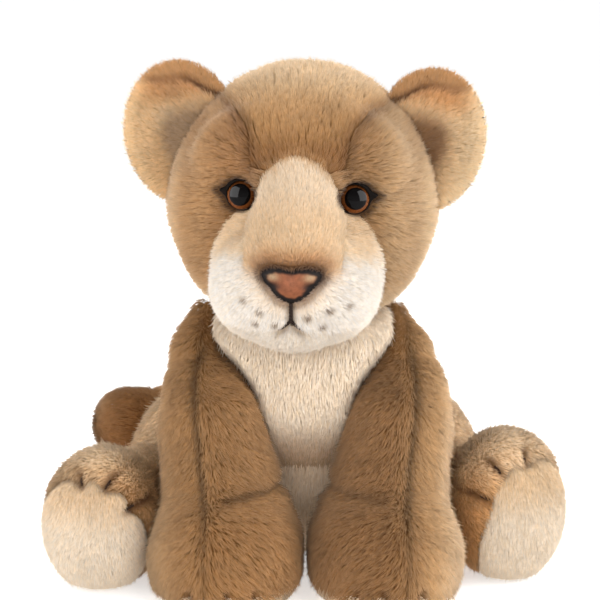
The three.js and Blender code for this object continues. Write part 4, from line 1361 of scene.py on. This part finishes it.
def build_torso():
    nu, nv = 150, 104
    V, F = star(torso_body_rule, (0, 16, 58), (0, 0, 1), 1, nu, nv, steps=30)
    N = mesh_normals(V, F)
    x, y, z = V.T
    seam = 1.2 * bell(np.where(y > -6, np.abs(x), 60), 3.0) + 1.0 * bell(y + 6, 3.0) + 0.35 * noise(V, 18.0, 15)
    V = V - N * seam[:, None]
    neck = np.linalg.norm(V - NECK, axis=1) - 29.4
    low = lambda *f: np.minimum.reduce(f)
    fields = {
        "chest_panel": low(z - 57, -6 - y, z - 9, neck),
        "belly_panel": low(57 - z, -6 - y, z - 9),
        "back_panel_left": low(y + 6, -x, z - 9, neck),
        "back_panel_right": low(y + 6, x, z - 9, neck),
        "seat_panel": 9 - z,
    }
    slots = {"chest_panel": "plush_cream", "belly_panel": "plush_cream"}
    for node, field in fields.items():
        plush(node + "_plush", [node], "torso", (V, N, F), field, torso_style(node), 3.0 if node == "chest_panel" else 1.9, slots.get(node, "plush_tan"))


def build_neck():
    g = ball_grid(84, 56)
    V = NECK + g * NECK_RADIUS
    F = outward(g, ball_faces(84, 56))

    def style(p, n):
        st = blank(p, (180, 139, 97), 6.0, 0.9, root=0.5)
        st["nap"] = np.tile(np.array([0, 0, -1.0]), (len(p), 1))
        st["col"] = mix((226, 205, 178), (180, 139, 97), ss(-16, -2, p[:, 1]))
        near = np.minimum(head_world_rule(p), torso_rule(p))
        st["keep"] = np.where(near > -2.5, 1.0, 0.0)
        st["length"] = np.minimum(st["length"], np.clip(near * 0.8 + 3, 1.5, 99))
        return st

    plush("neck_plush", ["neck_stuffing"], "neck", (V, g.copy(), F), None, style, 1.6, "plush_tan")


# ---------------------------------------------------------------- forelegs
def fibre_fill():
    m, tree, b = node_material("polyester_fibre", 0.9, Sheen_Weight=0.3)
    pos = add(tree, "ShaderNodeTexCoord")
    tex = add(tree, "ShaderNodeTexNoise", in_Scale=260.0, in_Detail=6.0, in_Distortion=1.2)
    ramp = add(tree, "ShaderNodeValToRGB")
    ramp.color_ramp.elements[0].color = (0.62, 0.61, 0.58, 1)
    ramp.color_ramp.elements[1].color = (0.9, 0.89, 0.87, 1)
    bump = add(tree, "ShaderNodeBump", in_Strength=0.6, in_Distance=0.001)
    tree.links.new(pos.outputs["Object"], tex.inputs["Vector"])
    tree.links.new(tex.outputs["Fac"], ramp.inputs["Fac"])
    tree.links.new(ramp.outputs["Color"], b.inputs["Base Color"])
    tree.links.new(tex.outputs["Fac"], bump.inputs["Height"])
    tree.links.new(bump.outputs["Normal"], b.inputs["Normal"])
    return m


FLUFF = fibre_fill()


def stuffing(name, node, body, V, N, F):
    """Loose fibre that fills a limb just under its cover."""
    thick = 3.0 + 0.5 * noise(V, 6.0, 91) + 0.25 * noise(V, 2.2, 92)
    W = V - N * thick[:, None]
    W[:, 2] = np.maximum(W[:, 2], FLOOR_SKIN + 2.0)
    return make(name, in_row(W), F, mesh_normals(W, F), None, plain_uv(W, F), FLUFF, body, [node])


def head_stuffing():
    """Loose fibre that fills the head, hollowed where the neck sits in it."""
    c = np.array([0, -22.0, -12.0])
    V, F = star(lambda p: head_rule(p) + 4.4, c, (0, 0, 1), 1, 110, 72)
    t = np.linalg.norm(V - c, axis=1)
    ray = (V - c) / t[:, None]
    m = NECK_IN_HEAD - c
    b = ray @ m
    cut = b * b - (m @ m - 29.8**2)
    t = np.where((cut > 0) & (b > 0), np.minimum(t, b - np.sqrt(np.maximum(cut, 0))), t)
    t = t - 0.5 * (1 + noise(V, 6.0, 93))
    W = c + ray * t[:, None]
    make("head_stuffing_fill", head_place(W), F, head_spin(mesh_normals(W, F)), None, plain_uv(W, F), FLUFF, "head", ["head_stuffing"])


SEAM_Z = [-5, 20, 48, 65, 85, 100, 118, 140]
SEAM_X = [47, 46.5, 46.5, 49, 52, 52.5, 50, 49.5]
PAW_STITCH = [26.0, 37.5, 52.0]


def crease_distance(p, s):
    """Distance, seen from the front, from the fold across the wrist."""
    X = p[:, 0] * s
    d = np.hypot(p[:, 2] - 52.5 + 0.15 * (X - 14), np.maximum(X - 38, 0) * 0.7)
    return np.where(p[:, 1] < -28, d, 60.0)


def foreleg_sole(X, y):
    return 7.0 + 5.0 * ss(24, 8, X) + 1.5 * ss(-80, -100, y)


def foreleg_style(s, panel):
    def style(p, n):
        x, y, z = p.T
        X = x * s
        zero = np.zeros(len(p))
        seam = X - np.interp(z, SEAM_Z, SEAM_X)
        away = np.tanh(seam / 6.0)
        if panel == "sole":
            st = blank(p, (238, 212, 180), 4.6, 1.0, root=0.94, tuft=0.2, vary=0.5)
            st["nap"] = np.stack([zero, -1 + zero, zero], 1)
        else:
            st = blank(p, (166, 124, 82), 7.2, 0.92, width=0.2, root=0.8, tuft=0.36, tuft_size=3.3)
            st["lean"] = st["lean"] - 0.2 * ss(0.6, 0.95, np.abs(n[:, 0]))
            paw = ss(52, 34, z)
            st["nap"] = np.stack([s * away * (0.62 + 0.35 * paw), -0.15 - 0.5 * paw, -1 + 0.3 * paw], 1)
            # The right leg is painted paler on its outer side and darker on its inner side and paw than the left:
            # painted light from the right.
            lit_right_leg = 1.0 if s > 0 else 0.0
            col = mix((164 - 23 * lit_right_leg, 122 - 19 * lit_right_leg, 78 - 13 * lit_right_leg), (158 + 22 * lit_right_leg, 118 + 22 * lit_right_leg, 75 + 20 * lit_right_leg), ss(-10, 8, seam))
            col = mix(col, (169 + 60 * lit_right_leg, 133 + 66 * lit_right_leg, 92 + 71 * lit_right_leg), ss(6, 24, seam) * (1 - 0.35 * paw * lit_right_leg))
            # Darker on the inner side towards the body: painted shade.
            col = mix(col, (140, 99, 62), ss(-8, -30, seam) * ss(-40, -20, y))
            st["col"] = mix(col, (161 - 16 * lit_right_leg, 116 - 13 * lit_right_leg, 70 - 9 * lit_right_leg), 0.5 * paw * ss(10, -4, seam))
            # Paler where the side faces outward: painted rim light.
            st["col"] = mix(st["col"], (192 + 26 * lit_right_leg, 152 + 32 * lit_right_leg, 108 + 38 * lit_right_leg), (0.6 if s > 0 else 0.5) * ss(0.62, 1.0, n[:, 0] * s))
            # Darker along the front seam, where it lies in a groove: painted shade.
            front = ss(-10, -30, y) * (0.3 + 0.7 * ss(22, 56, z))
            st["col"] = st["col"] * (1 - 0.24 * bell(seam, 1.5) * front)[:, None]
            st["length"] = st["length"] * (1 - 0.28 * bell(seam, 1.8) * front)
            # Darker in the wrist crease: painted shade.
            crease = crease_distance(p, s)
            st["col"] = st["col"] * (1 - (0.22 if s < 0 else 0.1) * bell(crease, 1.9))[:, None]
            st["length"] = st["length"] * (1 - (0.35 if s < 0 else 0.2) * bell(crease, 2.4))
        # Darker round each toe stitch, where the pile dips in: painted shade.
        for k in PAW_STITCH:
            d = np.hypot(X - k, np.maximum(np.abs(z - 9.5) - 4.5, 0))
            d = np.where(y < -70, d, 60)
            st["col"] = mix(st["col"], (92, 62, 40), 0.6 * bell(d, 1.7))
            st["length"] = st["length"] * (1 - 0.5 * bell(d, 2.6))
            st["keep"] = np.where(d < 0.8, 0, st["keep"])
        near = np.minimum.reduce(
            [np.maximum(torso_rule(p), 3.0), np.maximum(hind_rule(p, s), 1.0), np.maximum(head_world_rule(p), 1.0), np.maximum(X - 0.4, 0.6)]
        )
        crowd(st, near, 3.1)
        flat = (n[:, 2] < -0.6) & (z < 6)
        st["keep"] = np.where(flat, 0.5, st["keep"])
        st["lean"] = np.where(flat, 1.4, st["lean"])
        return st

    return style


def build_forelegs():
    nu, nv = 168, 140
    for s, tag in ((-1, "left"), (1, "right")):
        body = "foreleg_" + tag
        rule = lambda p: foreleg_rule(p, s)
        V, F = star(rule, (s * 41, -46, 50), (0, 0.3, 1), 1.9, nu, nv)
        N = slope(rule, V)
        x, y, z = V.T
        X = x * s
        seam = X - np.interp(z, SEAM_Z, SEAM_X)
        fold = crease_distance(V, s)
        depth = 1.5 * bell(seam, 2.6) * ss(-5, -30, y) * (0.3 + 0.7 * ss(22, 56, z)) + (2.4 if s < 0 else 1.3) * bell(fold, 3.0) * ss(9, 20, X) - 0.5 * bell(fold - 7.5, 3.5)
        for k in PAW_STITCH:
            d = np.hypot(X - k, np.maximum(np.abs(z - 9.5) - 4.5, 0))
            depth = depth + 1.6 * bell(np.where(y < -68, d, 60), 3.0)
        depth = depth + 0.4 * noise(V, 16.0, 41 + s)
        V = V - N * np.minimum(depth, 4.2)[:, None]
        sole = foreleg_sole(X, y)
        low = lambda *f: np.minimum.reduce(f)
        for node, field, slot, kind, density in (
            ("foreleg_outer_panel_" + tag, low(seam, z - sole), "plush_tan", "leg", 3.2),
            ("foreleg_inner_panel_" + tag, low(-seam, z - sole), "plush_tan", "leg", 2.42),
            ("forepaw_sole_" + tag, sole - z, "plush_cream", "sole", 1.6),
        ):
            plush(node + "_plush", [node], body, (V, N, F), field, foreleg_style(s, kind), density, slot)
        stuffing(f"foreleg_stuffing_{tag}_fill", f"foreleg_stuffing_{tag}", body, V, N, F)
        for i, k in enumerate(PAW_STITCH):
            zz = np.linspace(4.5, 14.5, 34)
            P = np.stack([np.full(34, s * k), np.full(34, -120.0), zz], 1)
            for _ in range(60):
                P[:, 1] += np.clip(rule(P) * 0.7, -1, 5)
            g = slope(rule, P)
            ends = np.sin(np.linspace(0, np.pi, 34)) ** 0.5
            thread_piece(f"forepaw_toe_stitch_{tag}_{i + 1}_thread", [(P - g * 2.2 + g * (1.7 * ends)[:, None], 0.75)], [f"forepaw_toe_stitch_{tag}_{i + 1}"], body, (58, 40, 27))


# ---------------------------------------------------------------- hind legs
TOES = {-1: [(3.0, 23.5), (-10.5, 22.5), (-20.5, 11.0)], 1: [(2.0, 27.0), (-12.0, 22.5), (-19.0, 9.0)]}
TOE_HALF = 2.0


def toe_distance(t, s):
    """Distance from the nearest toe stitch, in the foot's own frame, on its front."""
    d = np.full(len(t), 60.0)
    for tx, tz in TOES[s]:
        u = np.array([tx, tz]) / math.hypot(tx, tz)
        v = np.stack([t[:, 0] - tx, t[:, 2] - tz], 1)
        along = v @ u
        across = v @ np.array([-u[1], u[0]])
        d = np.minimum(d, np.hypot(across, np.maximum(np.abs(along) - TOE_HALF, 0)))
    return np.where(t[:, 1] < 2, d, 60.0)


def sole_field(t, s):
    tilt = 0.24 * t[:, 0] - 9 * ss(-9, -21, t[:, 0]) if s > 0 else 0.03 * t[:, 0]
    return -9.0 - 0.404 * t[:, 2] - t[:, 1] + tilt - 1.6 * bell(toe_distance(t, s), 4.0)


def hind_style(s, panel):
    hip, f = np.array(HIP, float), np.array(FOOT[s])

    def style(p, n):
        x, y, z = p.T
        t = foot_frame(p, s)
        zero = np.zeros(len(p))
        X = x * s
        if panel == "sole":
            st = blank(p, (231, 212, 188), 4.8, 0.8, width=0.23, root=0.97, tuft=0.16, tuft_size=2.8, vary=0.42)
            st["nap"] = np.stack([0.012 * t[:, 0] * s, zero, -1 + zero], 1)
            less = 11 * (s > 0)
            st["col"] = mix((220 - less, 190 - less, 154 - less), (227 - less, 209 - less, 186 - less), ss(20, -4, t[:, 2]))
        else:
            st = blank(p, (184, 145, 103), 6.2, 0.86, width=0.2, root=0.82, tuft=0.34, tuft_size=3.0)
            way = f - hip
            st["nap"] = np.stack([s * way[0] + zero, way[1] + zero, -14 + zero], 1)
            st["nap"] = unit(st["nap"]) + np.stack([0.012 * t[:, 0] * s, zero, 0.006 * t[:, 2]], 1)
            # The right leg is painted paler than the left: painted light from the right.
            up = 14 * (s > 0)
            col = mix((206 + up, 165 + up, 120 + up), (228 + up, 193 + up, 152 + up), ss(40, 66, z))
            # Darker low on the inner side: painted shade.
            inner = ss(4, -18, t[:, 0])
            st["col"] = mix(col, (190 + 2 * up, 144 + 1.5 * up, 96 + up), inner * ss(64, 40, z))
            # Paler where the top faces up: painted light from above.
            st["col"] = mix(st["col"], (236, 210, 176), 0.5 * ss(0.72, 1.0, n[:, 2]) * ss(46, 60, z))
        # Darker round each toe stitch, where the pile dips in: painted shade.
        toe = toe_distance(t, s)
        st["col"] = mix(st["col"], (88, 58, 36), 0.7 * bell(toe, 1.9))
        st["length"] = st["length"] * (1 - 0.5 * bell(toe, 2.8))
        st["keep"] = np.where(toe < 0.7, 0, st["keep"])
        # Darker along the seam round the sole: painted shade in the seam groove.
        edge = np.abs(sole_field(t, s))
        st["col"] = st["col"] * (1 - 0.22 * bell(edge, 1.6))[:, None]
        st["length"] = st["length"] * (1 - 0.28 * bell(edge, 2.0))
        near = np.minimum.reduce([np.maximum(torso_rule(p), 3.0), np.maximum(foreleg_rule(p, s), 1.0), np.maximum(tail_rule(p), 1.0)])
        crowd(st, near, 3.1)
        flat = (n[:, 2] < -0.6) & (z < 6)
        st["keep"] = np.where(flat, 0.5, st["keep"])
        st["lean"] = np.where(flat, 1.4, st["lean"])
        return st

    return style


def build_hind_legs():
    nu, nv = 176, 140
    for s, tag in ((-1, "left"), (1, "right")):
        body = "hind_leg_" + tag
        rule = lambda p: hind_rule(p, s)
        V, F = star(rule, (s * 72, 2, 34), (-s * 0.5, 0.86, 0), 1.6, nu, nv)
        N = slope(rule, V)
        t = foot_frame(V, s)
        depth = 2.5 * bell(toe_distance(t, s), 4.2) + 1.1 * bell(sole_field(t, s), 2.8) + 0.4 * noise(V, 16.0, 51 + s)
        V = V - N * np.minimum(depth, 2.95)[:, None]
        t = foot_frame(V, s)
        fx, fy, _ = FOOT[s]
        d = unit(np.array([HIP[0] - fx, HIP[1] - fy]))
        split = (V[:, 0] * s - fx) * d[1] - (V[:, 1] - fy) * d[0]
        sole = sole_field(t, s)
        low = lambda *f: np.minimum.reduce(f)
        for node, field, slot, kind, density in (
            ("hind_leg_outer_panel_" + tag, low(split, -sole), "plush_tan", "leg", 2.15),
            ("hind_leg_inner_panel_" + tag, low(-split, -sole), "plush_tan", "leg", 2.5),
            ("hind_foot_sole_" + tag, sole, "plush_cream", "sole", 5.4),
        ):
            plush(node + "_plush", [node], body, (V, N, F), field, hind_style(s, kind), density, slot)
        R = turn("z", FOOT_TURN)
        for i, (tx, tz) in enumerate(TOES[s]):
            u = np.array([tx, tz]) / math.hypot(tx, tz)
            a = np.linspace(-TOE_HALF, TOE_HALF, 30)
            T = np.stack([tx + u[0] * a, np.full(30, -70.0), tz + u[1] * a], 1)
            back = lambda T: (T @ R.T + np.array(FOOT[s])) * np.array([s, 1, 1])
            for _ in range(70):
                T[:, 1] += np.clip(rule(back(T)) * 0.7, -1, 4)
            P = back(T)
            g = slope(rule, P)
            ends = np.sin(np.linspace(0, np.pi, 30)) ** 0.5
            thread_piece(f"hind_toe_stitch_{tag}_{i + 1}_thread", [(P - g * 2.8 + g * (1.7 * ends)[:, None], 0.7)], [f"hind_toe_stitch_{tag}_{i + 1}"], body, (52, 35, 24))


# ---------------------------------------------------------------- tail
def build_tail():
    V, F = tail_surface(84, 150)
    N = slope(tail_rule, V)
    V = V - N * (0.4 * noise(V, 14.0, 61) + 0.9 * bell(V[:, 0] + 80, 2.6))[:, None]
    line = line_at([p for p, _ in TAIL], np.linspace(0, 1, 60))
    flow = unit(np.gradient(line, axis=0))

    def style(dark):
        def rule(p, n):
            i = ((p[:, None, :] - line[None]) ** 2).sum(-1).argmin(1)
            st = blank(p, (158, 115, 75), 6.2, 0.88, width=0.2, root=0.8, tuft=0.34, tuft_size=3.0)
            st["nap"] = flow[i]
            tip = ss(-70, -92, p[:, 0])
            st["col"] = mix((172, 127, 77), (137, 94, 51), tip)
            # Paler on the side of the tip that faces up and towards -x: painted light.
            st["col"] = mix(st["col"], (178, 134, 90), tip * ss(0.5, 1.0, -0.75 * n[:, 0] + 0.5 * n[:, 2]))
            near = np.minimum(np.maximum(torso_rule(p), 1.0) + 2.5, np.maximum(hind_rule(p, -1), 1.0))
            crowd(st, near, 1.5)
            return st

        return rule

    base = torso_rule(V) + 9.0  # the cover runs on into its socket
    plush("tail_cover_plush", ["tail_cover"], "tail", (V, N, F), np.minimum(V[:, 0] + 80, base), style(False), 2.6, "plush_tan")
    plush("tail_tip_plush", ["tail_tip"], "tail", (V, N, F), -80 - V[:, 0], style(True), 3.6, "plush_dark")


# ---------------------------------------------------------------- what stays inside
def inner_materials():
    cotton, tree, b = node_material("pellet_bag_cotton", 0.85, Sheen_Weight=0.15)
    pos = add(tree, "ShaderNodeTexCoord")
    weave = add(tree, "ShaderNodeTexWave", in_Scale=620.0, in_Distortion=0.6)
    across = add(tree, "ShaderNodeTexWave", in_Scale=620.0, in_Distortion=0.6, bands_direction="Y")
    both = add(tree, "ShaderNodeMath", operation="MULTIPLY")
    ramp = add(tree, "ShaderNodeValToRGB")
    ramp.color_ramp.elements[0].color = (0.55, 0.52, 0.45, 1)
    ramp.color_ramp.elements[1].color = (0.78, 0.75, 0.68, 1)
    for w in (weave, across):
        tree.links.new(pos.outputs["Object"], w.inputs["Vector"])
    tree.links.new(weave.outputs["Fac"], both.inputs[0])
    tree.links.new(across.outputs["Fac"], both.inputs[1])
    tree.links.new(both.outputs["Value"], ramp.inputs["Fac"])
    tree.links.new(ramp.outputs["Color"], b.inputs["Base Color"])

    washer, tree, b = node_material("washer_plastic", 0.45)
    pos = add(tree, "ShaderNodeTexCoord")
    tex = add(tree, "ShaderNodeTexNoise", in_Scale=700.0, in_Detail=2.0)
    ramp = add(tree, "ShaderNodeValToRGB")
    ramp.color_ramp.elements[0].color = (0.72, 0.72, 0.7, 1)
    ramp.color_ramp.elements[1].color = (0.82, 0.82, 0.8, 1)
    tree.links.new(pos.outputs["Object"], tex.inputs["Vector"])
    tree.links.new(tex.outputs["Fac"], ramp.inputs["Fac"])
    tree.links.new(ramp.outputs["Color"], b.inputs["Base Color"])

    for name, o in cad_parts.items():
        m = None
        if name.endswith("_stuffing") or "_stuffing_" in name:
            m = FLUFF
        elif name == "pellet_bag":
            m = cotton
        elif "washer" in name:
            m = washer
        if m is not None:
            o.data.materials.clear()
            o.data.materials.append(m)


# ---------------------------------------------------------------- studio
def studio():
    scene = bpy.context.scene
    scene.view_settings.view_transform = "Standard"
    scene.view_settings.look = "None"
    scene.view_settings.exposure = 0.0

    target = in_row(np.array([-2.5, 0.0, 132.0]))
    e, dist = math.radians(9.0), 1.0
    place = target + np.array([0.0, -math.cos(e) * dist, math.sin(e) * dist])
    cam_data = bpy.data.cameras.new("photo_camera")
    cam_data.lens, cam_data.sensor_width = 120.0, 36.0
    cam_data.clip_start, cam_data.clip_end = 0.05, 200.0
    cam = bpy.data.objects.new("photo_camera", cam_data)
    cam.location = place
    cam.rotation_euler = (Vector(target) - Vector(place)).to_track_quat("-Z", "Y").to_euler()
    scene.collection.objects.link(cam)
    scene.camera = cam

    world = bpy.data.worlds.new("studio")
    scene.world = world
    world.use_nodes = True
    tree = world.node_tree
    bg = tree.nodes["Background"]
    pos = add(tree, "ShaderNodeTexCoord")
    sep = add(tree, "ShaderNodeSeparateXYZ")
    up = add(tree, "ShaderNodeMath", operation="ABSOLUTE")
    ramp = add(tree, "ShaderNodeMapRange", interpolation_type="SMOOTHSTEP")
    for k, v in {"From Min": 0.1, "From Max": 0.55, "To Min": 1.0, "To Max": 0.5}.items():
        ramp.inputs[k].default_value = v
    tree.links.new(pos.outputs["Generated"], sep.inputs["Vector"])
    tree.links.new(sep.outputs["Z"], up.inputs[0])
    tree.links.new(up.outputs["Value"], ramp.inputs["Value"])
    tree.links.new(ramp.outputs["Result"], bg.inputs["Color"])
    bg.inputs["Strength"].default_value = 1.0

    me = bpy.data.meshes.new("studio_floor")
    w = 60.0
    me.from_pydata([(-w, -w, 0), (w, -w, 0), (w, w, 0), (-w, w, 0)], [], [(0, 1, 2, 3)])
    floor = bpy.data.objects.new("studio_floor", me)
    m, tree, b = node_material("pale_floor", 0.8, Specular_IOR_Level=0.1)
    b.inputs["Base Color"].default_value = (0.82, 0.82, 0.82, 1)
    b.inputs["Emission Color"].default_value = (1, 1, 1, 1)
    b.inputs["Emission Strength"].default_value = 0.55
    me.materials.append(m)
    scene.collection.objects.link(floor)

    def area(name, at, aim, size, power, mirrored=True):
        d = bpy.data.lights.new(name, "AREA")
        d.shape, d.size, d.size_y, d.energy = "RECTANGLE", size[0], size[1], power
        o = bpy.data.objects.new(name, d)
        o.location = at
        o.rotation_euler = (Vector(aim) - Vector(at)).to_track_quat("-Z", "Y").to_euler()
        o.visible_glossy = mirrored
        scene.collection.objects.link(o)
        return o

    area("front", (0.5, -1.5, 1.0), (0, 0, 0.13), (0.9, 0.7), 7.0, False)
    area("fill", (-0.55, -1.45, 0.42), (0, 0, 0.13), (0.9, 0.7), 5.0, False)
    area("side_left", (-1.2, -0.5, 0.52), (0, 0, 0.13), (0.7, 0.9), 4.0, False)
    area("side_right", (1.2, -0.45, 0.62), (0, 0, 0.13), (0.7, 0.9), 10.5, False)
    area("rim_left", (-0.6, 1.05, 0.75), (0, 0, 0.13), (1.2, 1.0), 9.0, False)
    area("rim_right", (0.65, 1.05, 0.75), (0, 0, 0.13), (1.2, 1.0), 9.0, False)
    # two tall soft panels that only gloss sees
    area("panel_left", (-1.25, -0.62, 0.46), (0, 0, 0.19), (1.5, 1.7), 80.0).visible_diffuse = False
    area("panel_right", (1.25, -0.62, 0.62), (0, 0, 0.19), (1.5, 1.5), 75.0).visible_diffuse = False
    area("top", (0.0, 0.3, 1.45), (0, 0, 0.12), (1.1, 0.9), 10.0, False)


studio()
inner_materials()
build_head()
head_stuffing()
build_eyes()
build_nose()
build_mouth()
build_ears()
build_torso()
build_neck()
build_forelegs()
build_hind_legs()
build_tail()
